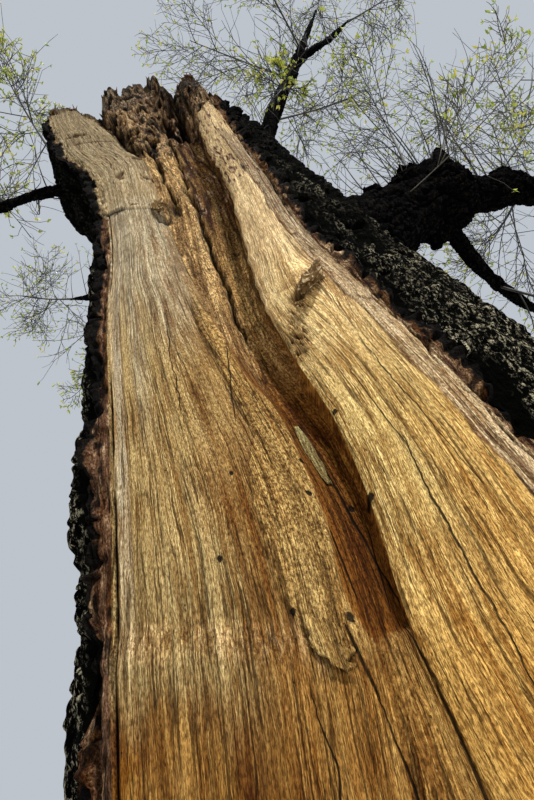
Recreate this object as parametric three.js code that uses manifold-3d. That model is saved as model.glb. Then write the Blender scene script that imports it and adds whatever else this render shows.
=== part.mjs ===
// An old tree whose trunk has torn down its length: one half has fallen away and left a tall
// face of bare wood with a rotten heart. One bough, some limbs and spring shoots still live.
// Millimetres, +Z up. The torn face looks along -Y, and the origin is the middle of the flat
// cut at ground level.

import * as THREE from 'three';
import { mergeVertices } from 'three/addons/utils/BufferGeometryUtils.js';
import Module from 'manifold-3d';

const wasm = await Module();
wasm.setup();

// Clearance between two solids that meet
const GAP = 0.45;
const GOLDEN_ANGLE = Math.PI * (3 - Math.sqrt(5));
// A direction that no stem or twig runs along
const SIDEWAYS = new THREE.Vector3(0.31, 0.87, 0.38);

// Trunk outline: each list gives [height, distance] stations. The sides are the widest
// places of the bark, the rims are where the bark ends at the torn face.
const LEFT_SIDE = [[0, -1180], [350, -1000], [900, -875], [1600, -825], [2400, -805],
  [3400, -780], [4200, -732], [4800, -725], [5300, -760], [5900, -905], [6500, -1000], [7200, -1050]];
const RIGHT_SIDE = [[0, 1260], [350, 1140], [900, 1085], [1600, 1060], [2400, 1045],
  [3200, 995], [4000, 850], [4700, 720], [5300, 655], [6000, 590], [6500, 560], [7200, 540]];
const BACK_SIDE = [[0, 1180], [350, 1010], [900, 900], [1600, 860], [2400, 840],
  [3400, 790], [4300, 700], [5200, 625], [6000, 580], [7200, 560]];
const LEFT_RIM = [[0, -800], [900, -725], [1800, -702], [3100, -672], [3700, -658], [4200, -622],
  [4700, -620], [5200, -645], [5450, -705], [5850, -830], [6400, -930], [6900, -1000], [7400, -1030]];
const RIGHT_RIM = [[0, 860], [900, 740], [1600, 640], [2450, 575], [2900, 530], [3300, 475],
  [3900, 390], [4700, 370], [5500, 335], [6100, 330], [7400, 320]];
const RIM_DEPTH = [[0, -690], [500, -610], [1000, -480], [1500, -410], [2000, -400], [7400, -400]];
const LEFT_BARK = 85;
const RIGHT_BARK = 60;

// Lines down the torn face, as [height, sideways place]: the rotten channel's left edge, the
// crack at its heart and its sharp right edge
const CHANNEL_LEFT = [[900, -130], [1700, -100], [2100, -40], [2540, -30], [2950, -80], [3470, -170],
  [4210, -240], [5370, -290], [5730, -390], [6120, -460], [6620, -580], [7400, -620]];
const CHANNEL_HEART = [[900, -20], [1700, 0], [2100, 10], [2500, 20], [2850, -30], [3290, -90],
  [4040, -100], [4970, -70], [5400, -110], [6200, -160], [7400, -220]];
const CHANNEL_RIGHT = [[900, 60], [1700, 45], [2100, 40], [2500, 80], [2800, 85], [3160, 50],
  [3520, 30], [4140, 70], [4750, 110], [5350, 90], [6000, 120], [7400, 110]];
const CHANNEL_DEPTH = [[900, 0], [2080, 6], [2220, 55], [2600, 105], [3300, 130], [4600, 135],
  [5300, 105], [5700, 70], [6300, 60], [7400, 60]];
// Columns across the channel: the two lines each lies between and how far along, with its
// shares of the channel's depth and of the rotten wood's bulge
const CHANNEL_COLUMNS = [
  { from: CHANNEL_LEFT, to: CHANNEL_HEART, share: 0, depth: 0.1, rot: 0 },
  { from: CHANNEL_LEFT, to: CHANNEL_HEART, share: 0.5, depth: 0.35, rot: 1 },
  { from: CHANNEL_LEFT, to: CHANNEL_HEART, share: 1, depth: 0.7, rot: 0.8 },
  { from: CHANNEL_HEART, to: CHANNEL_RIGHT, share: 0.72, depth: 1, rot: 0 },
  { from: CHANNEL_HEART, to: CHANNEL_RIGHT, share: 1, depth: 0.2, rot: 0 },
];
const LOBE_BULGE = 55;
const ROT_BULGE = 75;
const ROT_FOOT = 5300;
const ROT_RAMP = 500;
const WOOD_STEP = 8;

// Below the torn face a stub of the fallen half stands round the foot
const STUB_HEIGHT = 640;
const STUB_RAMP = 330;
const STUB_SPLINTERS = 120;
const SPLINTER_WAVES = [23, 41];
const FRONT_ARCH = [[0, 450], [350, 350], [900, 290], [1500, 250]];

// Root flare: low buttresses that fade out up the trunk
const BUTTRESSES = 6;
const BUTTRESS_DEPTH = 0.085;
const BUTTRESS_FADE = 520;
const BUTTRESS_TURN = 0.7;
const UNEVENNESS = 0.4;
const FLUTES = 9;
const FLUTE_DEPTH = 0.012;
const FLUTE_TURN = 1.3;
const FLUTE_TWIST = 2600;
const RIM_BLEND = 0.06;
// Half depth of the ellipse that twigs keep out of, in front of the trunk's middle
const FRONT_DEPTH = 800;

// The broken top: heights along the torn edge from left to right, and round the bark from
// left to right
const TOP_OF_FACE = [[0, 6720], [0.08, 6920], [0.18, 6900], [0.26, 6620], [0.34, 6790], [0.42, 7160],
  [0.49, 7080], [0.58, 7340], [0.66, 7400], [0.73, 7250], [0.78, 6880], [0.86, 6910],
  [0.93, 6760], [1, 6080]];
const TOP_OF_BARK = [[0, 6720], [0.1, 6880], [0.22, 6520], [0.36, 6860], [0.5, 6420], [0.64, 6560],
  [0.78, 6120], [0.9, 5980], [1, 6080]];
const TOP_LINE = 6800;
const HOLLOW_TOP = [6350, 6050, 5900];
const HOLLOW_DEPTH = 90;
const RIM_CARRY = 0.45;

// Rows and columns of the trunk's surface
const BARK_COLUMNS = 24;
const LOBE_COLUMNS = 4;
const LOW_ROWS = 23;
const HIGH_ROWS = 9;
const ROW_SPREAD = 0.58;
const TEAR_TOP = 5000;

// Limbs: stops along each, as [x, y, z, radius]. A tip stands out by a share of its radius.
const TIP_ROUNDING = 0.5;
const LIMBS = {
  bough_root: {
    on: 'trunk', sides: 14, steps: 12,
    stops: [[200, 130, 4330, 400], [560, 150, 4480, 370], [860, 190, 4710, 275], [1170, 250, 5000, 205],
      [1390, 310, 5190, 212], [1580, 370, 5330, 280], [1760, 420, 5400, 215]],
  },
  broken_stub: {
    on: 'bough_root', sides: 9, steps: 4,
    stops: [[1640, 372, 5330, 150], [1770, 390, 5620, 105], [1890, 400, 5900, 72], [1990, 405, 6170, 38]],
  },
  bough_arm: {
    on: 'bough_root', sides: 12, steps: 11,
    stops: [[1600, 370, 5300, 175], [1850, 445, 5420, 130], [2080, 520, 5490, 122], [2330, 600, 5640, 128],
      [2510, 665, 5600, 98], [2760, 760, 5420, 84], [3080, 880, 5350, 74], [3380, 1010, 5480, 60]],
  },
  bough_underside_branch: {
    on: 'bough_root', sides: 8, steps: 7,
    stops: [[1520, 370, 5170, 70], [1600, 520, 5000, 52], [1700, 690, 4900, 44], [1890, 920, 4860, 38],
      [2180, 1200, 4860, 30], [2480, 1450, 4980, 24]],
  },
  slim_upper_limb: {
    on: 'trunk', sides: 9, steps: 10,
    stops: [[300, 260, 5600, 100], [500, 320, 6080, 86], [640, 290, 6600, 76], [800, 240, 7120, 70],
      [1080, 180, 7750, 64], [1420, 100, 8400, 58], [1770, 20, 9130, 50], [2130, -60, 9880, 40]],
  },
  slim_side_limb: {
    on: 'slim_upper_limb', sides: 7, steps: 6,
    stops: [[1480, 90, 8480, 42], [1720, 60, 8700, 34], [2020, 60, 9000, 29], [2380, 30, 9440, 22]],
  },
  left_branch: {
    on: 'trunk', sides: 7, steps: 7,
    stops: [[-600, -130, 5800, 46], [-900, -190, 5830, 34], [-1150, -210, 5800, 30],
      [-1450, -200, 5700, 26], [-1800, -130, 5720, 21]],
  },
  back_limb: {
    on: 'trunk', sides: 9, steps: 9,
    stops: [[-250, 350, 5700, 150], [-330, 640, 6200, 118], [-420, 900, 6900, 96], [-560, 1120, 7700, 78],
      [-640, 1260, 8500, 56]],
  },
  back_side_limb: {
    on: 'back_limb', sides: 8, steps: 7,
    stops: [[-350, 780, 6600, 70], [-750, 1120, 6900, 56], [-1180, 1420, 7260, 44], [-1560, 1620, 7700, 32]],
  },
  rear_limb: {
    on: 'trunk', sides: 9, steps: 8,
    stops: [[180, 380, 5150, 120], [330, 800, 5420, 92], [560, 1270, 5850, 74], [860, 1750, 6420, 56],
      [1080, 2080, 7000, 40]],
  },
};

// Masses of twigs: the stem runs from root to tip, and side twigs stand out to a given length
const MASSES = {
  knob_shoots: {
    on: 'bough_root', root: [1510, 320, 5480], tip: [1900, 260, 7450], twigs: 5, length: 1020,
  },
  stub_shoots: {
    on: 'broken_stub', root: [1900, 400, 5920], tip: [2830, 560, 7800], twigs: 5, length: 1090,
  },
  arm_inner_shoots: {
    on: 'bough_arm', root: [2090, 510, 5560], tip: [3250, 780, 6960], twigs: 5, length: 900,
  },
  arm_outer_shoots: {
    on: 'bough_arm', root: [2930, 815, 5400], tip: [4130, 820, 6380], twigs: 5, length: 920,
  },
  arm_end_twigs: {
    on: 'bough_arm', root: [3360, 1000, 5470], tip: [4350, 1480, 5560], twigs: 5, length: 830,
  },
  arm_hanging_twigs: {
    on: 'bough_arm', root: [2800, 775, 5360], tip: [3460, 520, 4480], twigs: 5, length: 720,
  },
  arm_rear_shoots: {
    on: 'bough_arm', root: [2420, 690, 5640], tip: [2760, 1750, 6700], twigs: 5, length: 970,
  },
  bough_front_shoots: {
    on: 'bough_root', root: [1190, 80, 4940], tip: [2330, -220, 5580], twigs: 5, length: 610,
  },
  bough_rear_shoots: {
    on: 'bough_root', root: [1230, 360, 5080], tip: [1370, 1170, 6560], twigs: 5, length: 900,
  },
  underside_twigs: {
    on: 'bough_underside_branch', root: [2460, 1430, 4975], tip: [3280, 2080, 5080], twigs: 5, length: 790,
  },
  underside_hanging_twigs: {
    on: 'bough_underside_branch', root: [1840, 880, 4850], tip: [2280, 760, 3980], twigs: 5, length: 610,
  },
  slim_limb_top: {
    on: 'slim_upper_limb', root: [2110, -55, 9850], tip: [2600, -60, 11150], twigs: 6, length: 970,
  },
  slim_limb_left: {
    on: 'slim_upper_limb', root: [1300, 130, 8190], tip: [520, -150, 9560], twigs: 5, length: 970,
  },
  slim_limb_hanging: {
    on: 'slim_upper_limb', root: [1180, 150, 7930], tip: [880, -250, 6620], twigs: 5, length: 420,
  },
  slim_limb_front: {
    on: 'slim_upper_limb', root: [1620, 50, 8830], tip: [1180, -1330, 9860], twigs: 5, length: 900,
  },
  slim_side_twigs: {
    on: 'slim_side_limb', root: [2360, 35, 9410], tip: [3330, -60, 10030], twigs: 5, length: 820,
  },
  slim_limb_low: {
    on: 'slim_upper_limb', root: [890, 220, 7350], tip: [1980, 520, 8320], twigs: 5, length: 720,
  },
  back_limb_top: {
    on: 'back_limb', root: [-635, 1250, 8470], tip: [-780, 1330, 10350], twigs: 6, length: 1130,
  },
  back_limb_inner: {
    on: 'back_limb', root: [-450, 960, 7120], tip: [420, 1270, 8700], twigs: 5, length: 1000,
  },
  back_side_end: {
    on: 'back_side_limb', root: [-1540, 1610, 7680], tip: [-2350, 1930, 8720], twigs: 6, length: 970,
  },
  back_side_low: {
    on: 'back_side_limb', root: [-950, 1270, 7070], tip: [-1560, 2330, 7060], twigs: 5, length: 820,
  },
  rear_limb_top: {
    on: 'rear_limb', root: [1070, 2060, 6960], tip: [1500, 2560, 8420], twigs: 6, length: 1000,
  },
  rear_limb_side: {
    on: 'rear_limb', root: [700, 1510, 6120], tip: [-330, 2350, 6330], twigs: 5, length: 820,
  },
  left_branch_end: {
    on: 'left_branch', root: [-1780, -133, 5718], tip: [-2700, 60, 6250], twigs: 5, length: 790,
  },
  left_branch_shoots: {
    on: 'left_branch', root: [-1260, -207, 5780], tip: [-1830, -330, 7080], twigs: 5, length: 720,
  },
  left_tip_shoots: {
    on: 'trunk', root: [-930, -190, 6380], tip: [-1300, -450, 7940], twigs: 5, length: 670,
  },
};

// How every mass branches: shares are of a stem's or twig's length, angles are in degrees
const STEM_RADIUS = 19;
const STEM_TIP_RADIUS = 5;
const TWIG_TIP_RADIUS = 3.5;
const STEM_STEPS = 5;
const STEM_SAG = 0.06;
const FIRST_TWIG = 0.16;
const TWIG_SPAN = 0.78;
const TWIG_STEPS = 2;
const TWIG_RADIUS = 0.48;
const TWIG_LEAN = 34;
const TWIG_LEAN_SPREAD = 22;
const TWIG_TURN_SPREAD = 2;
const TWIG_TAPER = 0.5;
const TWIG_BEND = 0.55;
const TWIG_LIFT = 0.18;
const SIZE_SPREAD = 0.4;
const LEAVES_PER_TWIG = 2;
const LAST_LEAF = 0.96;
const LEAF_SPACING = 0.4;
const LEAF_LEAN = 0.9;
const LEAF_LENGTH = 160;
const LEAF_WIDTH = 46;
const LEAF_THICKNESS = 7;
const LEAF_SINK = 2;
const SPACE_MARGIN = 45;
const LIMB_MARGIN = 30;
const CHECKED_PLACES = [0.4, 0.7, 1];
const FIRST_SEED = 4101;

// A smooth curve through [height, value] stations
function along(stations, height) {
  const last = stations.length - 1;
  if (height <= stations[0][0]) return stations[0][1];
  if (height >= stations[last][0]) return stations[last][1];
  let i = 0;
  while (stations[i + 1][0] < height) i += 1;
  const slope = (k) => {
    const low = stations[Math.max(k - 1, 0)];
    const high = stations[Math.min(k + 1, last)];
    return (high[1] - low[1]) / (high[0] - low[0]);
  };
  const [z0, v0] = stations[i];
  const [z1, v1] = stations[i + 1];
  const h = z1 - z0;
  const t = (height - z0) / h;
  const t2 = t * t;
  const t3 = t2 * t;
  return (2 * t3 - 3 * t2 + 1) * v0 + (t3 - 2 * t2 + t) * h * slope(i)
    + (3 * t2 - 2 * t3) * v1 + (t3 - t2) * h * slope(i + 1);
}

// A smooth step from 0 at low to 1 at high
function rise(low, high, value) {
  const t = Math.min(Math.max((value - low) / (high - low), 0), 1);
  return t * t * (3 - 2 * t);
}

// Repeatable random numbers from 0 to 1
function seeded(seed) {
  let state = seed >>> 0;
  return () => {
    state = (Math.imul(state, 1664525) + 1013904223) >>> 0;
    return state / 4294967296;
  };
}

// A factor that makes repeated sizes a little unequal
function varied(random) {
  return 1 + SIZE_SPREAD * (random() - 0.5);
}

// Drops normals and texture places, joins shared corners and leaves out flat triangles
function closed(shape) {
  shape.deleteAttribute('normal');
  shape.deleteAttribute('uv');
  const merged = mergeVertices(shape, 1e-3);
  const corners = merged.index.array;
  const kept = [];
  for (let i = 0; i < corners.length; i += 3) {
    const [a, b, c] = corners.slice(i, i + 3);
    if (a !== b && b !== c && c !== a) kept.push(a, b, c);
  }
  merged.setIndex(kept);
  return merged;
}

// A closed surface of rows round an axis. place(row, column) gives each corner; the first and
// last rows are single points, and columns run clockwise seen from the last row.
function loft(rows, columns, place) {
  const line = [];
  for (let row = 0; row < rows; row += 1) {
    const isEnd = row === 0 || row === rows - 1;
    line.push(new THREE.Vector2(isEnd ? 0 : 1, row));
  }
  const shape = new THREE.LatheGeometry(line, columns);
  const corners = shape.attributes.position;
  for (let column = 0; column <= columns; column += 1) {
    for (let row = 0; row < rows; row += 1) {
      const { x, y, z } = place(row, (columns - column) % columns);
      corners.setXYZ(column * rows + row, x, y, z);
    }
  }
  return closed(shape);
}

function solid(shape) {
  return new wasm.Manifold(new wasm.Mesh({
    numProp: 3,
    vertProperties: new Float32Array(shape.attributes.position.array),
    triVerts: new Uint32Array(shape.index.array),
  }));
}

function surface(body) {
  const { vertProperties, triVerts } = body.getMesh();
  const shape = new THREE.BufferGeometry();
  shape.setAttribute('position', new THREE.BufferAttribute(new Float32Array(vertProperties), 3));
  shape.setIndex(Array.from(triVerts));
  return shape;
}

// The largest closed piece of a body: a cut can leave loose scraps
function largest(body) {
  const pieces = body.decompose();
  return pieces.reduce((best, piece) => (piece.volume() > best.volume() ? piece : best));
}

// The trunk's middle, as a place to measure angles from
function trunkMiddle(z) {
  return { x: (along(LEFT_SIDE, z) + along(RIGHT_SIDE, z)) / 2, y: 0 };
}

// Root buttresses and long shallow flutes, as a factor on the distance from the middle
function flare(angle, z) {
  const buttress = Math.cos(BUTTRESSES * angle + BUTTRESS_TURN)
    + UNEVENNESS * Math.cos((BUTTRESSES - 1) * angle);
  const flute = Math.cos(FLUTES * angle + FLUTE_TURN + z / FLUTE_TWIST);
  return 1 + BUTTRESS_DEPTH * buttress * Math.exp(-z / BUTTRESS_FADE) + FLUTE_DEPTH * flute;
}

// A point on the bark: share runs from 0 at the left rim, round the back, to 1 at the right rim
function barkPoint(share, z, swell) {
  const middle = trunkMiddle(z);
  const half = (along(RIGHT_SIDE, z) - along(LEFT_SIDE, z)) / 2;
  const depth = along(BACK_SIDE, z);
  const rimDepth = -along(RIM_DEPTH, z);
  const leftTurn = Math.acos((middle.x - along(LEFT_RIM, z)) / half);
  const rightTurn = Math.acos((along(RIGHT_RIM, z) - middle.x) / half);
  const angle = Math.PI + leftTurn - share * (Math.PI + leftTurn + rightTurn);
  const x = half * Math.cos(angle);
  let y = depth * Math.sin(angle);
  if (Math.sin(angle) < 0) {
    const turn = Math.cos(angle) < 0 ? leftTurn : rightTurn;
    y = rimDepth * Math.sin(angle) / Math.sin(turn);
  }
  const reach = Math.hypot(x, y);
  const rimFade = rise(0, RIM_BLEND, share) * rise(0, RIM_BLEND, 1 - share);
  const factor = 1 + (flare(Math.atan2(y, x), z) - 1) * rimFade + swell / reach;
  return new THREE.Vector3(middle.x + x * factor, y * factor, z);
}

// Places of the columns across one of the two lobes of sound wood
function lobeStops(from, to) {
  return Array.from({ length: LOBE_COLUMNS }, (_, i) => {
    const share = (i + 1) / (LOBE_COLUMNS + 1);
    return [THREE.MathUtils.lerp(from, to, share), -LOBE_BULGE * Math.sin(Math.PI * share)];
  });
}

// Sideways place and depth of the torn face's columns, from the left rim to the right rim
function faceStops(z) {
  const leftRim = along(LEFT_RIM, z);
  const rightRim = along(RIGHT_RIM, z);
  const leftWood = leftRim + LEFT_BARK;
  const rightWood = rightRim - RIGHT_BARK;
  const deep = along(CHANNEL_DEPTH, z);
  const bulge = ROT_BULGE * rise(ROT_FOOT, ROT_FOOT + ROT_RAMP, z);
  const channel = CHANNEL_COLUMNS.map(({ from, to, share, depth, rot }) => (
    [THREE.MathUtils.lerp(along(from, z), along(to, z), share), depth * deep - rot * bulge]
  ));
  return [
    [leftRim, 0],
    [leftWood, -WOOD_STEP],
    ...lobeStops(leftWood, along(CHANNEL_LEFT, z)),
    ...channel,
    ...lobeStops(along(CHANNEL_RIGHT, z), rightWood),
    [rightWood, -WOOD_STEP],
    [rightRim, 0],
  ];
}
const FACE_COLUMNS = faceStops(TEAR_TOP).length;
const TRUNK_COLUMNS = BARK_COLUMNS + FACE_COLUMNS - 1;

// A point on the torn face, or lower down on the stub in front of it
function facePoint(column, z, swell) {
  const [x, relief] = faceStops(z)[column];
  const leftRim = along(LEFT_RIM, z);
  const rightRim = along(RIGHT_RIM, z);
  const share = (x - leftRim) / (rightRim - leftRim);
  const rimDepth = along(RIM_DEPTH, z);
  const across = 2 * share - 1;
  const front = rimDepth - along(FRONT_ARCH, z) * Math.sqrt(Math.max(1 - across * across, 0));
  const splinters = Math.cos(SPLINTER_WAVES[0] * share) + Math.cos(SPLINTER_WAVES[1] * share);
  const edge = STUB_HEIGHT + STUB_SPLINTERS * splinters * Math.sin(Math.PI * share);
  const torn = rise(edge, edge + STUB_RAMP, z);
  const middle = trunkMiddle(z);
  const y = front + torn * (rimDepth + relief - front);
  const lobes = flare(Math.atan2(y, x - middle.x), z) - 1;
  const factor = 1 + lobes * (1 - torn) * Math.sin(Math.PI * share);
  return new THREE.Vector3(middle.x + (x - middle.x) * factor, y * factor - swell, z);
}

// The trunk's side at a column: bark first, from left round to right, then the face back
function sidePoint(column, z, swell) {
  if (column <= BARK_COLUMNS) return barkPoint(column / BARK_COLUMNS, z, swell);
  return facePoint(FACE_COLUMNS - 1 - (column - BARK_COLUMNS), z, swell);
}

function topHeight(column) {
  if (column <= BARK_COLUMNS) return along(TOP_OF_BARK, column / BARK_COLUMNS);
  const across = faceStops(TOP_LINE).map((stop) => stop[0]);
  const leftRim = across[0];
  const rightRim = across[FACE_COLUMNS - 1];
  const x = across[FACE_COLUMNS - 1 - (column - BARK_COLUMNS)];
  return along(TOP_OF_FACE, (x - leftRim) / (rightRim - leftRim));
}

// Heights of the trunk's rows: closer together at the stub, then spread up the face
function rowHeight(row, top) {
  const share = row / (LOW_ROWS - 1);
  if (share <= 1) return TEAR_TOP * THREE.MathUtils.lerp(share, share * share, ROW_SPREAD);
  return THREE.MathUtils.lerp(TEAR_TOP, top, (row - LOW_ROWS + 1) / HIGH_ROWS);
}

function trunkShape(swell) {
  const sideRows = LOW_ROWS + HIGH_ROWS;
  const rows = 1 + sideRows + HOLLOW_TOP.length;
  const topMiddle = new THREE.Vector3(trunkMiddle(HOLLOW_TOP[0]).x, HOLLOW_DEPTH, 0);
  const topOf = (column) => topHeight(column) + swell;
  return loft(rows, TRUNK_COLUMNS, (row, column) => {
    if (row === 0) return new THREE.Vector3(0, 0, 0);
    if (row <= sideRows) return sidePoint(column, rowHeight(row - 1, topOf(column)), swell);
    const ring = row - sideRows;
    const rim = sidePoint(column, topOf(column), swell);
    const share = ring / HOLLOW_TOP.length;
    const inner = rim.clone().lerp(topMiddle, share);
    inner.z = HOLLOW_TOP[ring - 1] + (ring === 1 ? RIM_CARRY * (topOf(column) - HOLLOW_TOP[0]) : swell);
    return inner;
  });
}

// A tapering limb along a smooth path through its stops, thicker by the swell
function limbShape({ stops, sides, steps }, swell = 0) {
  const path = new THREE.CatmullRomCurve3(stops.map(([x, y, z]) => new THREE.Vector3(x, y, z)));
  path.curveType = 'catmullrom';
  const frames = path.computeFrenetFrames(steps, false);
  const radiusAt = (share) => along(stops.map((stop, i) => [i / (stops.length - 1), stop[3]]), share);
  return loft(steps + 3, sides, (row, column) => {
    const step = Math.min(Math.max(row - 1, 0), steps);
    const share = path.getUtoTmapping(step / steps);
    const middle = path.getPoint(share);
    const isEnd = row === 0 || row === steps + 2;
    if (isEnd) {
      const tip = row === 0 ? -swell : TIP_ROUNDING * radiusAt(share) + swell;
      return middle.addScaledVector(frames.tangents[step], tip);
    }
    const angle = 2 * Math.PI * column / sides;
    const radius = radiusAt(share) + swell;
    return middle
      .addScaledVector(frames.normals[step], -radius * Math.cos(angle))
      .addScaledVector(frames.binormals[step], radius * Math.sin(angle));
  });
}

// True where a point is inside the trunk or closer to it than the margin
function nearTrunk({ x, y, z }, margin) {
  const top = Math.max(...TOP_OF_FACE.map((stop) => stop[1]));
  const rimDepth = along(RIM_DEPTH, z);
  if (z > top + margin || y < rimDepth - LOBE_BULGE - ROT_BULGE - margin) return false;
  const half = (along(RIGHT_SIDE, z) - along(LEFT_SIDE, z)) / 2 + margin;
  const depth = (y > 0 ? along(BACK_SIDE, z) : FRONT_DEPTH) + margin;
  return Math.hypot((x - trunkMiddle(z).x) / half, y / depth) < 1;
}

// True where a point is inside a limb or closer to it than the margin
function nearLimb(point, { stops }, margin) {
  const nearest = new THREE.Vector3();
  for (let i = 1; i < stops.length; i += 1) {
    const line = new THREE.Line3(new THREE.Vector3(...stops[i - 1]), new THREE.Vector3(...stops[i]));
    line.closestPointToPoint(point, true, nearest);
    const radius = Math.max(stops[i - 1][3], stops[i][3]);
    if (nearest.distanceTo(point) < radius + margin) return true;
  }
  return false;
}

// Distance from a point to the straight line between a mass's root and its tip
function distanceToMass(point, { root, tip }) {
  const line = new THREE.Line3(new THREE.Vector3(...root), new THREE.Vector3(...tip));
  const nearest = line.closestPointToPoint(point, true, new THREE.Vector3());
  return nearest.distanceTo(point);
}

// A mass keeps to the space that is nearer to its own line than to any other mass's line
function isOwnSpace(point, name) {
  const own = distanceToMass(point, MASSES[name]) + SPACE_MARGIN;
  const others = Object.keys(MASSES).filter((other) => other !== name);
  return others.every((other) => distanceToMass(point, MASSES[other]) > own)
    && Object.values(LIMBS).every((limb) => !nearLimb(point, limb, LIMB_MARGIN))
    && !nearTrunk(point, LIMB_MARGIN);
}

// The stem of a mass leaves its limb and bends up towards its tip
function stemPath({ root, tip }) {
  const start = new THREE.Vector3(...root);
  const end = new THREE.Vector3(...tip);
  const bend = start.clone().lerp(end, 0.5);
  bend.z -= STEM_SAG * start.distanceTo(end);
  return new THREE.QuadraticBezierCurve3(start, bend, end);
}

// A side twig: it leaves the stem at a share of its length, turned round it by the golden angle
function twigPath(stem, index, { twigs, length }, random) {
  const share = FIRST_TWIG + TWIG_SPAN * (index + 0.5) / twigs;
  const start = stem.getPoint(share);
  const ahead = stem.getTangent(share);
  const side = SIDEWAYS.clone().cross(ahead).normalize();
  side.applyAxisAngle(ahead, index * GOLDEN_ANGLE + TWIG_TURN_SPREAD * random());
  const lean = THREE.MathUtils.degToRad(TWIG_LEAN + TWIG_LEAN_SPREAD * random());
  const out = ahead.clone().multiplyScalar(Math.cos(lean)).addScaledVector(side, Math.sin(lean));
  const reach = length * (1 - TWIG_TAPER * share) * varied(random);
  const bend = start.clone().addScaledVector(out, TWIG_BEND * reach);
  const end = start.clone().addScaledVector(out, reach);
  end.z += TWIG_LIFT * reach;
  return { path: new THREE.QuadraticBezierCurve3(start, bend, end), share };
}

// A three-sided twig that tapers along its path
function twigShape(path, startRadius, endRadius, steps) {
  const stops = [];
  for (let i = 0; i <= steps; i += 1) {
    const { x, y, z } = path.getPoint(i / steps);
    stops.push([x, y, z, THREE.MathUtils.lerp(startRadius, endRadius, i / steps)]);
  }
  return limbShape({ stops, sides: 3, steps });
}

// A flat pointed leaf, its root sunk in the twig at a share of the path
function leafShape(path, share, random) {
  const ahead = path.getTangent(share);
  const side = new THREE.Vector3(random() - 0.5, random() - 0.5, random() - 0.5).cross(ahead).normalize();
  const out = ahead.clone().addScaledVector(side, LEAF_LEAN).normalize();
  const length = LEAF_LENGTH * varied(random);
  const leaf = new THREE.OctahedronGeometry(1);
  leaf.scale(length / 2, LEAF_WIDTH / 2, LEAF_THICKNESS / 2);
  leaf.applyQuaternion(new THREE.Quaternion().setFromUnitVectors(new THREE.Vector3(1, 0, 0), out));
  const middle = path.getPoint(share).addScaledVector(out, length / 2 - LEAF_SINK);
  leaf.translate(middle.x, middle.y, middle.z);
  return { leaf: closed(leaf), end: middle.addScaledVector(out, length / 2) };
}

// One mass: a stem, the side twigs that fit its space, and leaves on them, joined into one solid
function massSolid(name, seed) {
  const mass = MASSES[name];
  const random = seeded(seed);
  const stem = stemPath(mass);
  let body = solid(twigShape(stem, STEM_RADIUS, STEM_TIP_RADIUS, STEM_STEPS));
  const addLeaf = (path, share) => {
    const { leaf, end } = leafShape(path, share, random);
    if (isOwnSpace(end, name)) body = body.add(solid(leaf));
  };
  for (let index = 0; index < mass.twigs; index += 1) {
    const { path, share } = twigPath(stem, index, mass, random);
    const isClear = CHECKED_PLACES.every((place) => isOwnSpace(path.getPoint(place), name));
    if (isClear) {
      const startRadius = TWIG_RADIUS * THREE.MathUtils.lerp(STEM_RADIUS, STEM_TIP_RADIUS, share);
      body = body.add(solid(twigShape(path, startRadius, TWIG_TIP_RADIUS, TWIG_STEPS)));
      for (let k = 0; k < LEAVES_PER_TWIG; k += 1) addLeaf(path, LAST_LEAF - LEAF_SPACING * k);
    }
  }
  addLeaf(stem, LAST_LEAF);
  return body;
}

// The whole tree: each solid is cut clear of those that it grows from
const swollen = { trunk: solid(trunkShape(GAP)) };
const bodies = { trunk: solid(trunkShape(0)) };
for (const [name, limb] of Object.entries(LIMBS)) {
  let body = solid(limbShape(limb));
  for (const earlier of Object.values(swollen)) body = body.subtract(earlier);
  bodies[name] = largest(body);
  swollen[name] = solid(limbShape(limb, GAP));
}
Object.keys(MASSES).forEach((name, index) => {
  bodies[name] = largest(massSolid(name, FIRST_SEED + index).subtract(swollen[MASSES[name].on]));
});

const FINISHES = {
  wood: new THREE.MeshStandardMaterial({ color: 0xc79a5b, roughness: 0.8, metalness: 0 }),
  bark: new THREE.MeshStandardMaterial({ color: 0x2e2822, roughness: 0.9, metalness: 0 }),
  twigs: new THREE.MeshStandardMaterial({ color: 0x8c9440, roughness: 0.7, metalness: 0 }),
};

function finishOf(name) {
  if (name === 'trunk') return FINISHES.wood;
  return name in LIMBS ? FINISHES.bark : FINISHES.twigs;
}

const tree = new THREE.Group();
for (const [name, body] of Object.entries(bodies)) {
  const mesh = new THREE.Mesh(surface(body), finishOf(name));
  mesh.name = name;
  tree.add(mesh);
}

export default tree;
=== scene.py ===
import math
from collections import namedtuple

import bmesh
import bpy
import numpy as np
from mathutils import Matrix, Vector


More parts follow.
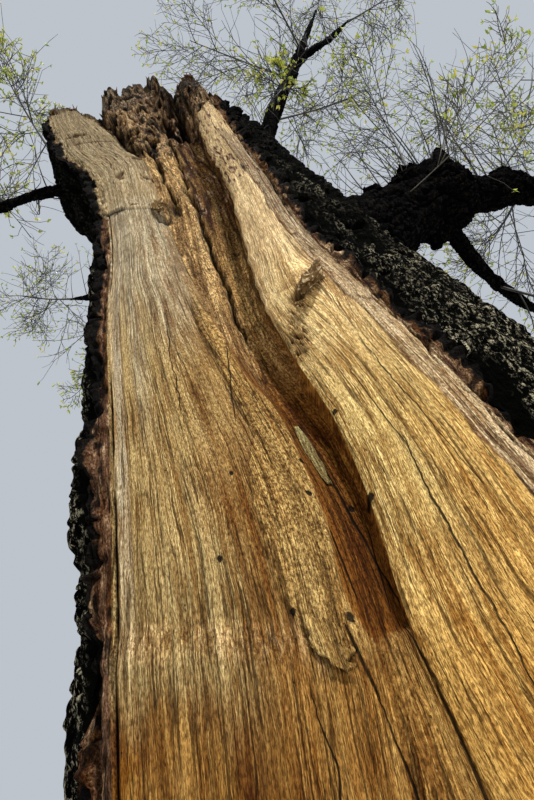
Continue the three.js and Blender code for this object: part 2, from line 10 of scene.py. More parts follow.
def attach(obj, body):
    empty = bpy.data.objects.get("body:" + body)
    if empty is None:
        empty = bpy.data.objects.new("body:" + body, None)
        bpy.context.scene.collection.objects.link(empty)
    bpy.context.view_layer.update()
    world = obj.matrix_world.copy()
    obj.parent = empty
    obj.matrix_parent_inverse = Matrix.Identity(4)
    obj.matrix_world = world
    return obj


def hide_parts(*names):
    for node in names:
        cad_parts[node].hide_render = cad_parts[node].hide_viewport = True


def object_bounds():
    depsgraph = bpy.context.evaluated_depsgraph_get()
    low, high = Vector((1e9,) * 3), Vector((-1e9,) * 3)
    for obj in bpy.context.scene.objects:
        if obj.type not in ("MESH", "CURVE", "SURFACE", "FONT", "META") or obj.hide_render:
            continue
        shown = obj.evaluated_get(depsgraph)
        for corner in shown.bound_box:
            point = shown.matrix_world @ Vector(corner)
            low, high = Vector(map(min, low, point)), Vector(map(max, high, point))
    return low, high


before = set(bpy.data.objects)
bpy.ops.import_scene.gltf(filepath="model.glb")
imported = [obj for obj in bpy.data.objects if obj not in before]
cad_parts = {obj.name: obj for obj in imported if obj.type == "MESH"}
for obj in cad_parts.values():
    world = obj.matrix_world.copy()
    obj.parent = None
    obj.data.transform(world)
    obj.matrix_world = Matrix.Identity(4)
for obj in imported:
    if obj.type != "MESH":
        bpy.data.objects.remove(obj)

CAD_BOX = [list(corner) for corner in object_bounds()]

# The tree's shape, as in the solids

# The trunk's outline, as (height, distance)
LEFT_SIDE = [(0, -1.18), (0.35, -1.0), (0.9, -0.875), (1.6, -0.825), (2.4, -0.805), (3.4, -0.78),
             (4.2, -0.732), (4.8, -0.725), (5.3, -0.76), (5.9, -0.905), (6.5, -1.0), (7.2, -1.05)]
RIGHT_SIDE = [(0, 1.26), (0.35, 1.14), (0.9, 1.085), (1.6, 1.06), (2.4, 1.045), (3.2, 0.995),
              (4.0, 0.85), (4.7, 0.72), (5.3, 0.655), (6.0, 0.59), (6.5, 0.56), (7.2, 0.54)]
BACK_SIDE = [(0, 1.18), (0.35, 1.01), (0.9, 0.9), (1.6, 0.86), (2.4, 0.84), (3.4, 0.79),
             (4.3, 0.7), (5.2, 0.625), (6.0, 0.58), (7.2, 0.56)]
LEFT_RIM = [(0, -0.8), (0.9, -0.725), (1.8, -0.702), (3.1, -0.672), (3.7, -0.658), (4.2, -0.622),
            (4.7, -0.62), (5.2, -0.645), (5.45, -0.705), (5.85, -0.83), (6.4, -0.93), (6.9, -1.0),
            (7.4, -1.03)]
RIGHT_RIM = [(0, 0.86), (0.9, 0.74), (1.6, 0.64), (2.45, 0.575), (2.9, 0.53), (3.3, 0.475),
             (3.9, 0.39), (4.7, 0.37), (5.5, 0.335), (6.1, 0.33), (7.4, 0.32)]
RIM_DEPTH = [(0, -0.69), (0.5, -0.61), (1.0, -0.48), (1.5, -0.41), (2.0, -0.4), (7.4, -0.4)]
LEFT_BARK = 0.085
RIGHT_BARK = 0.06

# Lines down the torn face, as (height, sideways place)
CHANNEL_LEFT = [(0.9, -0.13), (1.7, -0.1), (2.1, -0.04), (2.54, -0.03), (2.95, -0.08),
                (3.47, -0.17), (4.21, -0.24), (5.37, -0.29), (5.73, -0.39), (6.12, -0.46),
                (6.62, -0.58), (7.4, -0.62)]
CHANNEL_HEART = [(0.9, -0.02), (1.7, 0.0), (2.1, 0.01), (2.5, 0.02), (2.85, -0.03), (3.29, -0.09),
                 (4.04, -0.1), (4.97, -0.07), (5.4, -0.11), (6.2, -0.16), (7.4, -0.22)]
CHANNEL_RIGHT = [(0.9, 0.06), (1.7, 0.045), (2.1, 0.04), (2.5, 0.08), (2.8, 0.085), (3.16, 0.05),
                 (3.52, 0.03), (4.14, 0.07), (4.75, 0.11), (5.35, 0.09), (6.0, 0.12), (7.4, 0.11)]
CHANNEL_DEPTH = [(0.9, 0), (2.085, 0.004), (2.125, 0.05), (2.22, 0.065), (2.6, 0.105), (3.3, 0.13),
                 (4.6, 0.135), (5.3, 0.12), (5.7, 0.13), (6.3, 0.17), (7.4, 0.15)]
STAIN_EDGE = [(0.9, -0.36), (2.1, -0.3), (3.0, -0.31), (3.6, -0.27), (4.2, -0.26), (4.7, -0.25),
              (5.4, -0.3), (7.4, -0.62)]
LOBE_BULGE = 0.055
ROT_BULGE = 0.075
ROT_FOOT, ROT_RAMP = 5.3, 0.5
WOOD_STEP = 0.008

# The stub of the fallen half, the root flare and the flutes
STUB_HEIGHT, STUB_RAMP, STUB_SPLINTERS = 0.64, 0.33, 0.12
SPLINTER_WAVES = (23, 41)
FRONT_ARCH = [(0, 0.45), (0.35, 0.35), (0.9, 0.29), (1.5, 0.25)]
BUTTRESSES, BUTTRESS_DEPTH, BUTTRESS_FADE, BUTTRESS_TURN, UNEVENNESS = 6, 0.085, 0.52, 0.7, 0.4
FLUTES, FLUTE_DEPTH, FLUTE_TURN, FLUTE_TWIST = 9, 0.012, 1.3, 2.6
RIM_BLEND = 0.06
FRONT_DEPTH = 0.8

# The broken top
TOP_OF_FACE = [(0, 6.72), (0.08, 6.92), (0.18, 6.9), (0.26, 6.62), (0.34, 6.79), (0.42, 7.16),
               (0.49, 7.08), (0.58, 7.34), (0.66, 7.4), (0.73, 7.25), (0.78, 6.88), (0.86, 6.91),
               (0.93, 6.76), (1, 6.08)]
TOP_OF_BARK = [(0, 6.72), (0.1, 6.88), (0.22, 6.52), (0.36, 6.86), (0.5, 6.42), (0.64, 6.56),
               (0.78, 6.12), (0.9, 5.98), (1, 6.08)]
TOP_LINE = 6.8
HOLLOW_TOP = (6.35, 6.05, 5.9)
HOLLOW_DEPTH = 0.09
RIM_CARRY = 0.45
TEAR_TOP = 5.0

# Limbs: stops along each, as (x, y, z, radius)
LIMBS = {
    "bough_root": [(0.2, 0.13, 4.33, 0.4), (0.56, 0.15, 4.48, 0.37), (0.86, 0.19, 4.71, 0.275),
                   (1.17, 0.25, 5.0, 0.205), (1.39, 0.31, 5.19, 0.212), (1.58, 0.37, 5.33, 0.28),
                   (1.76, 0.42, 5.4, 0.215)],
    "broken_stub": [(1.64, 0.372, 5.33, 0.15), (1.77, 0.39, 5.62, 0.105), (1.89, 0.4, 5.9, 0.072),
                    (1.99, 0.405, 6.17, 0.038)],
    "bough_arm": [(1.6, 0.37, 5.3, 0.175), (1.85, 0.445, 5.42, 0.13), (2.08, 0.52, 5.49, 0.122),
                  (2.33, 0.6, 5.64, 0.128), (2.51, 0.665, 5.6, 0.098), (2.76, 0.76, 5.42, 0.084),
                  (3.08, 0.88, 5.35, 0.074), (3.38, 1.01, 5.48, 0.06)],
    "bough_underside_branch": [(1.52, 0.37, 5.17, 0.07), (1.6, 0.52, 5.0, 0.052),
                               (1.7, 0.69, 4.9, 0.044), (1.89, 0.92, 4.86, 0.038),
                               (2.18, 1.2, 4.86, 0.03), (2.48, 1.45, 4.98, 0.024)],
    "slim_upper_limb": [(0.3, 0.26, 5.6, 0.1), (0.5, 0.32, 6.08, 0.086),
                        (0.64, 0.29, 6.6, 0.076), (0.8, 0.24, 7.12, 0.07),
                        (1.08, 0.18, 7.75, 0.064), (1.42, 0.1, 8.4, 0.058),
                        (1.77, 0.02, 9.13, 0.05), (2.13, -0.06, 9.88, 0.04)],
    "slim_side_limb": [(1.48, 0.09, 8.48, 0.042), (1.72, 0.06, 8.7, 0.034),
                       (2.02, 0.06, 9.0, 0.029), (2.38, 0.03, 9.44, 0.022)],
    "left_branch": [(-0.6, -0.13, 5.8, 0.046), (-0.9, -0.19, 5.83, 0.034),
                    (-1.15, -0.21, 5.8, 0.03), (-1.45, -0.2, 5.7, 0.026),
                    (-1.8, -0.13, 5.72, 0.021)],
    "back_limb": [(-0.25, 0.35, 5.7, 0.15), (-0.33, 0.64, 6.2, 0.118), (-0.42, 0.9, 6.9, 0.096),
                  (-0.56, 1.12, 7.7, 0.078), (-0.64, 1.26, 8.5, 0.056)],
    "back_side_limb": [(-0.35, 0.78, 6.6, 0.07), (-0.75, 1.12, 6.9, 0.056),
                       (-1.18, 1.42, 7.26, 0.044), (-1.56, 1.62, 7.7, 0.032)],
    "rear_limb": [(0.18, 0.38, 5.15, 0.12), (0.33, 0.8, 5.42, 0.092), (0.56, 1.27, 5.85, 0.074),
                  (0.86, 1.75, 6.42, 0.056), (1.08, 2.08, 7.0, 0.04)],
}

# Masses of twigs: name, root and tip of the stem, side twigs and their length
MASSES = [
    ("knob_shoots", (1.51, 0.32, 5.48), (1.9, 0.26, 7.45), 5, 1.02),
    ("stub_shoots", (1.9, 0.4, 5.92), (2.83, 0.56, 7.8), 5, 1.09),
    ("arm_inner_shoots", (2.09, 0.51, 5.56), (3.25, 0.78, 6.96), 5, 0.9),
    ("arm_outer_shoots", (2.93, 0.815, 5.4), (4.13, 0.82, 6.38), 5, 0.92),
    ("arm_end_twigs", (3.36, 1.0, 5.47), (4.35, 1.48, 5.56), 5, 0.83),
    ("arm_hanging_twigs", (2.8, 0.775, 5.36), (3.46, 0.52, 4.48), 5, 0.72),
    ("arm_rear_shoots", (2.42, 0.69, 5.64), (2.76, 1.75, 6.7), 5, 0.97),
    ("bough_front_shoots", (1.19, 0.08, 4.94), (2.33, -0.22, 5.58), 5, 0.61),
    ("bough_rear_shoots", (1.23, 0.36, 5.08), (1.37, 1.17, 6.56), 5, 0.9),
    ("underside_twigs", (2.46, 1.43, 4.975), (3.28, 2.08, 5.08), 5, 0.79),
    ("underside_hanging_twigs", (1.84, 0.88, 4.85), (2.28, 0.76, 3.98), 5, 0.61),
    ("slim_limb_top", (2.11, -0.055, 9.85), (2.6, -0.06, 11.15), 6, 0.97),
    ("slim_limb_left", (1.3, 0.13, 8.19), (0.52, -0.15, 9.56), 5, 0.97),
    ("slim_limb_hanging", (1.18, 0.15, 7.93), (0.88, -0.25, 6.62), 5, 0.42),
    ("slim_limb_front", (1.62, 0.05, 8.83), (1.18, -1.33, 9.86), 5, 0.9),
    ("slim_side_twigs", (2.36, 0.035, 9.41), (3.33, -0.06, 10.03), 5, 0.82),
    ("slim_limb_low", (0.89, 0.22, 7.35), (1.98, 0.52, 8.32), 5, 0.72),
    ("back_limb_top", (-0.635, 1.25, 8.47), (-0.78, 1.33, 10.35), 6, 1.13),
    ("back_limb_inner", (-0.45, 0.96, 7.12), (0.42, 1.27, 8.7), 5, 1.0),
    ("back_side_end", (-1.54, 1.61, 7.68), (-2.35, 1.93, 8.72), 6, 0.97),
    ("back_side_low", (-0.95, 1.27, 7.07), (-1.56, 2.33, 7.06), 5, 0.82),
    ("rear_limb_top", (1.07, 2.06, 6.96), (1.5, 2.56, 8.42), 6, 1.0),
    ("rear_limb_side", (0.7, 1.51, 6.12), (-0.33, 2.35, 6.33), 5, 0.82),
    ("left_branch_end", (-1.78, -0.133, 5.718), (-2.7, 0.06, 6.25), 5, 0.79),
    ("left_branch_shoots", (-1.26, -0.207, 5.78), (-1.83, -0.33, 7.08), 5, 0.72),
    ("left_tip_shoots", (-0.93, -0.19, 6.38), (-1.3, -0.45, 7.94), 5, 0.67),
]
MASS_GROUPS = {
    "knob": MASSES[0:2], "arm": MASSES[2:7], "bough_front": MASSES[7:8], "bough": MASSES[8:11],
    "slim_limb_top": MASSES[11:14], "slim_limb_low": MASSES[14:17],
    "back_limb": MASSES[17:21], "rear_limb": MASSES[21:23], "left_branch": MASSES[23:26],
}

# How the masses branch, as in the solids
STEM_RADIUS, STEM_TIP_RADIUS, TWIG_TIP_RADIUS = 0.019, 0.005, 0.0035
STEM_SAG = 0.06
FIRST_TWIG, TWIG_SPAN = 0.16, 0.78
TWIG_RADIUS = 0.48
TWIG_LEAN, TWIG_LEAN_SPREAD = math.radians(34), math.radians(22)
TWIG_TURN_SPREAD = 2
TWIG_TAPER, TWIG_BEND, TWIG_LIFT, SIZE_SPREAD = 0.5, 0.55, 0.18, 0.4
DRAWS_PER_LEAF, LEAVES_PER_TWIG = 4, 2
SPACE_MARGIN, LIMB_MARGIN = 0.045, 0.03
CHECKED_PLACES = (0.4, 0.7, 1)
FIRST_SEED = 4101
SIDEWAYS = Vector((0.31, 0.87, 0.38))
GOLDEN_ANGLE = math.pi * (3 - math.sqrt(5))

# How fine the surfaces are

# Columns across the torn face, between its seven lines from the left rim to the right rim
FACE_COLUMNS = (14, 104, 34, 48, 92, 11)
# How much the columns crowd together towards the channel's steep right wall
CROWDING = 1.8
# Pieces of the torn face: first and last line, and material
FACE_PIECES = {
    "left_torn_bark": (0, 1, "frayed"), "left_lobe": (1, 2, "wood"), "rotten_heart": (2, 4, "rot"),
    "right_lobe": (4, 5, "wood"), "right_torn_bark": (5, 6, "frayed"),
}
# Columns round the bark, by piece: shares of the way round where it starts and ends, and their number
BARK_RUNS = {
    "bark_right": (1.0, 0.86, 70), "bark_back": (0.86, 0.5, 84), "bark_back_left": (0.5, 0.09, 84),
    "bark_left": (0.09, 0.0, 40),
}
# Rows up the trunk, as (from, to, spacing), and the rows above the tear's top
ROW_RUNS = ((0, 1.25, 0.022), (1.25, 4.4, 0.0095), (4.4, 5.0, 0.0115))
HIGH_ROWS = 190
FOOT_TOP = 1.25
HOLLOW_ROWS = 26


def srgb(red, green, blue):
    """A colour as the eye names it, 0 to 255, in the linear values that shaders take."""
    seen = np.array([red, green, blue]) / 255
    return np.where(seen <= 0.04045, seen / 12.92, ((seen + 0.055) / 1.055) ** 2.4)


# Colours of the wood and bark
STRAW = srgb(220, 190, 140)
CREAM = srgb(248, 222, 172)
HONEY = srgb(232, 205, 136)
TAN = srgb(197, 172, 117)
GREY_TAN = srgb(202, 190, 160)
OLIVE_TAN = srgb(200, 170, 108)
AMBER = srgb(213, 170, 94)
STAIN = srgb(148, 111, 58)
BROWN = srgb(134, 88, 36)
LOW_BROWN = srgb(132, 87, 26)
UMBER = srgb(92, 50, 16)
SCOOP_BROWN = srgb(134, 90, 36)
SCOOP_DARK = srgb(120, 75, 27)
RIB_TAN = srgb(246, 212, 152)
RIB_BROWN = srgb(136, 90, 42)
PITCH = srgb(14, 9, 5)
ASH = srgb(186, 167, 128)
SAPWOOD = srgb(198, 186, 160)
PINK_GREY = srgb(222, 203, 170)
BAST = srgb(116, 88, 68)
FRAYED = srgb(202, 174, 142)
OCHRE = srgb(204, 176, 136)
GREY_BROWN = srgb(158, 142, 120)
CHARRED = srgb(20, 17, 14)
LICHEN = srgb(66, 68, 40)

# Arithmetic shared by the pieces


def along(stations, place):
    """A smooth curve through (place, value) stations, as the solids use it."""
    places, values = np.array(stations, dtype=float).T
    slopes = np.gradient(values, places)
    slopes[1:-1] = (values[2:] - values[:-2]) / (places[2:] - places[:-2])
    at = np.clip(place, places[0], places[-1])
    i = np.clip(np.searchsorted(places, at, side="right") - 1, 0, len(places) - 2)
    gap = places[i + 1] - places[i]
    t = (at - places[i]) / gap
    return ((2 * t**3 - 3 * t**2 + 1) * values[i] + (t**3 - 2 * t**2 + t) * gap * slopes[i]
            + (3 * t**2 - 2 * t**3) * values[i + 1] + (t**3 - t**2) * gap * slopes[i + 1])


def rise(low, high, value):
    """A smooth step from 0 at low to 1 at high."""
    t = np.clip((value - low) / (high - low), 0, 1)
    return t * t * (3 - 2 * t)


def band(centre, half_width, value):
    """A soft band: 1 at the centre, 0 past the half width."""
    return 1 - rise(0, 1, np.abs(value - centre) / half_width)


def mix(first, second, share):
    return first + (second - first) * share


def tint(base, colour, share):
    """Colours with some of another colour laid over them."""
    return mix(base, colour, np.asarray(share)[..., None])


def laid(base, layers):
    """Colours with others laid over them in turn, each by its share."""
    for colour, share in layers:
        base = tint(base, colour, share)
    return base


def darkened(tone, share):
    return tone * (1 - share)[..., None]


def rough(x, y, z, seed=0):
    """Smooth random values from -1 to 1 over a grid of unit cells; each seed is a pattern of its own."""
    places = [np.asarray(a, dtype=float) for a in np.broadcast_arrays(x, y, z)]
    cells = [np.floor(a).astype(np.int64) for a in places]
    shares = [a - c for a, c in zip(places, cells)]
    shares = [s**3 * (s * (s * 6 - 15) + 10) for s in shares]
    total = 0
    for corner in range(8):
        steps = [(corner >> axis) & 1 for axis in range(3)]
        i, j, k = (c + step for c, step in zip(cells, steps))
        h = (i * 73856093 ^ j * 19349663 ^ k * 83492791 ^ (seed + 1) * 2654435761) & 0xFFFFFFFF
        h = ((h ^ (h >> 15)) * 2246822519) & 0xFFFFFFFF
        h = ((h ^ (h >> 13)) * 3266489917) & 0xFFFFFFFF
        value = ((h ^ (h >> 16)) & 0xFFFFFF) / 0x7FFFFF - 1
        weight = 1
        for share, step in zip(shares, steps):
            weight = weight * (share if step else 1 - share)
        total = total + value * weight
    return total


def bark_relief(x, y, z):
    """Furrowed bark: its height over the mean, and from 0 in a furrow to 1 on a ridge."""
    warp = 0.03 * rough(x / 0.16, y / 0.16, z / 0.2, 1)
    furrows = np.abs(rough((x + warp) / 0.06, (y - warp) / 0.06, z / 0.2, 2))
    cracks = np.abs(rough(x / 0.08, y / 0.08, z / 0.066, 3))
    ridge = np.clip(furrows / 0.32, 0, 1) ** 0.6 * (0.5 + 0.5 * np.clip(cracks / 0.24, 0, 1) ** 0.5)
    lumps = rough(x / 0.3, y / 0.3, z / 0.36, 4)
    grit = rough(x / 0.03, y / 0.03, z / 0.03, 5)
    return 0.052 * (ridge - 0.66) + 0.026 * lumps + 0.012 * grit, ridge * (0.85 + 0.15 * grit)


# Making pieces


def dress(piece, materials, nodes):
    """Gives a piece its materials and its place in the frame."""
    for material in materials:
        piece.data.materials.append(material)
    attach(piece, "root")
    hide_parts(*nodes)
    return piece


def mesh_from(name, bm):
    """A mesh made from a bmesh, and the places of its vertices."""
    mesh = bpy.data.meshes.new(name)
    bm.to_mesh(mesh)
    bm.free()
    flat = np.empty(len(mesh.vertices) * 3, dtype=np.float32)
    mesh.vertices.foreach_get("co", flat)
    return mesh, flat.reshape(-1, 3)


def move_corners(mesh, places):
    mesh.vertices.foreach_set("co", places.astype(np.float32).ravel())


def paint(mesh, colours):
    """Gives each vertex the colour that the materials read as its tone."""
    layer = mesh.attributes.new("tone", "FLOAT_COLOR", "POINT")
    layer.data.foreach_set("color", colours.astype(np.float32).ravel())


def lay_grain(mesh, places):
    """Gives each face corner its place along the grain."""
    loops = np.empty(len(mesh.loops), dtype=np.int32)
    mesh.loops.foreach_get("vertex_index", loops)
    layer = mesh.uv_layers.new(name="grain")
    layer.data.foreach_set("uv", places[loops].astype(np.float32).ravel())


def linked_piece(name, mesh):
    piece = bpy.data.objects.new(name, mesh)
    bpy.context.collection.objects.link(piece)
    return piece


def grid_piece(name, corners, uv=None, tone=None, is_closed=False):
    """A piece from a flat grid whose corners are moved to rows and columns of places."""
    rows, columns = corners.shape[:2]
    bm = bmesh.new()
    bmesh.ops.create_grid(bm, x_segments=columns - 1, y_segments=rows - 1, size=1)
    mesh, flat = mesh_from(name, bm)
    column = np.rint((flat[:, 0] + 1) / 2 * (columns - 1)).astype(int)
    row = np.rint((flat[:, 1] + 1) / 2 * (rows - 1)).astype(int)
    move_corners(mesh, corners[row, column])
    if uv is not None:
        lay_grain(mesh, uv[row, column])
    if tone is not None:
        painted = np.ones((len(flat), 4))
        painted[:, :tone.shape[2]] = tone[row, column]
        paint(mesh, painted)
    if is_closed:
        bm = bmesh.new()
        bm.from_mesh(mesh)
        bmesh.ops.remove_doubles(bm, verts=bm.verts, dist=1e-5)
        bmesh.ops.dissolve_degenerate(bm, edges=bm.edges, dist=1e-6)
        bm.to_mesh(mesh)
        bm.free()
    mesh.shade_smooth()
    mesh.update()
    return linked_piece(name, mesh)


def joined_piece(name, corners, faces, kinds=None, is_smooth=True):
    """Many small things as one mesh; kinds gives each face its material."""
    mesh = bpy.data.meshes.new(name)
    mesh.vertices.add(len(corners))
    move_corners(mesh, corners)
    mesh.loops.add(faces.size)
    mesh.loops.foreach_set("vertex_index", faces.astype(np.int32).ravel())
    mesh.polygons.add(len(faces))
    mesh.polygons.foreach_set("loop_start", np.arange(len(faces), dtype=np.int32) * faces.shape[1])
    if kinds is not None:
        mesh.polygons.foreach_set("material_index", kinds.astype(np.int32))
    mesh.update(calc_edges=True)
    if is_smooth:
        mesh.shade_smooth()
    else:
        mesh.shade_flat()
    mesh.validate()
    return linked_piece(name, mesh)


# Camera, floor and light

CAMERA_PLACE = (-0.2, -1.7, 1.5)
CAMERA_LIFT, CAMERA_TURN, CAMERA_TILT = math.radians(48), math.radians(5), math.radians(-20)
FOCAL_PIXELS, PICTURE_HEIGHT, SENSOR = 612.6, 800, 23.5
NEAREST, FARTHEST = 0.05, 200
SKY_COLOUR, SKY_STRENGTH = (0.8, 0.86, 0.94, 1), 0.64
# Lamps: azimuth, elevation, strength and how wide the light comes in, in degrees
LAMPS = {"key lamp": (40, 48, 4.25, 4), "fill lamp": (-60, 25, 0.4, 40)}
FLOOR_SIZE = 120


def set_camera():
    data = bpy.data.cameras.new("camera")
    data.sensor_width = SENSOR
    data.lens = FOCAL_PIXELS / PICTURE_HEIGHT * SENSOR
    data.clip_start, data.clip_end = NEAREST, FARTHEST
    camera = bpy.data.objects.new("camera", data)
    bpy.context.collection.objects.link(camera)
    ahead = Vector((math.sin(CAMERA_TURN) * math.cos(CAMERA_LIFT),
                    math.cos(CAMERA_TURN) * math.cos(CAMERA_LIFT), math.sin(CAMERA_LIFT)))
    level = Vector((math.cos(CAMERA_TURN), -math.sin(CAMERA_TURN), 0))
    up = level.cross(ahead)
    right = math.cos(CAMERA_TILT) * level + math.sin(CAMERA_TILT) * up
    top = math.cos(CAMERA_TILT) * up - math.sin(CAMERA_TILT) * level
    turn = Matrix((right, top, -ahead)).transposed()
    camera.matrix_world = Matrix.Translation(CAMERA_PLACE) @ turn.to_4x4()
    bpy.context.scene.camera = camera


def set_sun(name, azimuth, elevation, strength, angle):
    """A soft lamp from a side: azimuth 0 shines on the torn face, 90 from the right."""
    data = bpy.data.lights.new(name, "SUN")
    data.energy = strength
    data.angle = math.radians(angle)
    lamp = bpy.data.objects.new(name, data)
    bpy.context.collection.objects.link(lamp)
    a, e = math.radians(azimuth), math.radians(elevation)
    source = Vector((math.sin(a) * math.cos(e), -math.cos(a) * math.cos(e), math.sin(e)))
    lamp.rotation_mode = "QUATERNION"
    lamp.rotation_quaternion = source.to_track_quat("Z", "Y")


def set_light():
    world = bpy.data.worlds.new("pale studio")
    world.use_nodes = True
    sky = world.node_tree.nodes["Background"]
    sky.inputs["Color"].default_value = SKY_COLOUR
    sky.inputs["Strength"].default_value = SKY_STRENGTH
    bpy.context.scene.world = world
    for name, settings in LAMPS.items():
        set_sun(name, *settings)
    bpy.context.scene.view_settings.view_transform = "Standard"


# Node trees


def place_node(tree, kind, inputs=None, **options):
    """Adds a node with its options, and sets or links its named inputs."""
    node = tree.nodes.new(kind)
    for option, value in options.items():
        setattr(node, option, value)
    for socket, value in (inputs or {}).items():
        if isinstance(value, bpy.types.NodeSocket):
            tree.links.new(value, node.inputs[socket])
        else:
            node.inputs[socket].default_value = value
    return node


def calculate(tree, operation, first, second=0.0, third=0.0):
    node = place_node(tree, "ShaderNodeMath", {0: first, 1: second, 2: third}, operation=operation)
    return node.outputs[0]


def product(tree, first, second):
    return calculate(tree, "MULTIPLY", first, second)


def add_product(tree, first, second, third):
    """The product of the first two, with the third added."""
    return calculate(tree, "MULTIPLY_ADD", first, second, third)


def difference(tree, first, second):
    return calculate(tree, "SUBTRACT", first, second)


def larger(tree, first, second):
    return calculate(tree, "MAXIMUM", first, second)


def parts_of(tree, vector):
    return place_node(tree, "ShaderNodeSeparateXYZ", {0: vector}).outputs


def object_place(tree):
    return place_node(tree, "ShaderNodeTexCoord").outputs["Object"]


def fade(tree, value, low, high, out_low=0.0, out_high=1.0):
    """A smooth step between two values, held at its ends."""
    node = place_node(tree, "ShaderNodeMapRange", {
        "Value": value, "From Min": low, "From Max": high, "To Min": out_low, "To Max": out_high,
    }, interpolation_type="SMOOTHSTEP")
    return node.outputs["Result"]


def blend_colour(tree, share, first, second, way="MIX"):
    node = place_node(tree, "ShaderNodeMix", {0: share, 6: first, 7: second},
                      data_type="RGBA", blend_type=way)
    return node.outputs[2]


def scaled(tree, vector, sizes):
    """A vector measured in units of the given sizes."""
    node = place_node(tree, "ShaderNodeVectorMath", {0: vector, 1: [1 / s for s in sizes]},
                      operation="MULTIPLY")
    return node.outputs[0]


def noise(tree, vector, sizes, detail=2.0, roughness=0.5, distortion=0.0):
    node = place_node(tree, "ShaderNodeTexNoise", {
        "Vector": scaled(tree, vector, sizes), "Scale": 1.0, "Detail": detail,
        "Roughness": roughness, "Distortion": distortion,
    })
    return node.outputs["Fac"]


def opaque(colour):
    return (*colour, 1.0)


def veiled(tree, colour, share, dark, pale):
    """A colour multiplied by a veil that runs from a dark to a pale tint."""
    return blend_colour(tree, 1.0, colour, blend_colour(tree, share, opaque(dark), opaque(pale)), "MULTIPLY")


NUMBER, COLOUR, PLACE = "NodeSocketFloat", "NodeSocketColor", "NodeSocketVector"


def new_group(name, inputs, outputs=(("Mask", NUMBER),)):
    """An empty effect: its inputs are a place, and numbers or colours with their usual values."""
    group = bpy.data.node_groups.new(name, "ShaderNodeTree")
    group.interface.new_socket(name="Place", in_out="INPUT", socket_type=PLACE)
    for label, value in inputs.items():
        kind = COLOUR if isinstance(value, tuple) else NUMBER
        socket = group.interface.new_socket(name=label, in_out="INPUT", socket_type=kind)
        socket.default_value = value
    for label, kind in outputs:
        group.interface.new_socket(name=label, in_out="OUTPUT", socket_type=kind)
    return group, group.nodes.new("NodeGroupInput").outputs, group.nodes.new("NodeGroupOutput").inputs


def thin_lines(tree, vector, sizes, width, detail=2.0):
    """Thin wandering lines, where a noise passes its middle value: 1 on a line."""
    apart = calculate(tree, "ABSOLUTE", difference(tree, noise(tree, vector, sizes, detail), 0.5))
    return fade(tree, apart, width, 0.45 * width)


# Ribs of the grain: their pitch in fibre widths, and how far they drift
RIB_PITCH, RIB_DRIFT = 3.8, 26.0


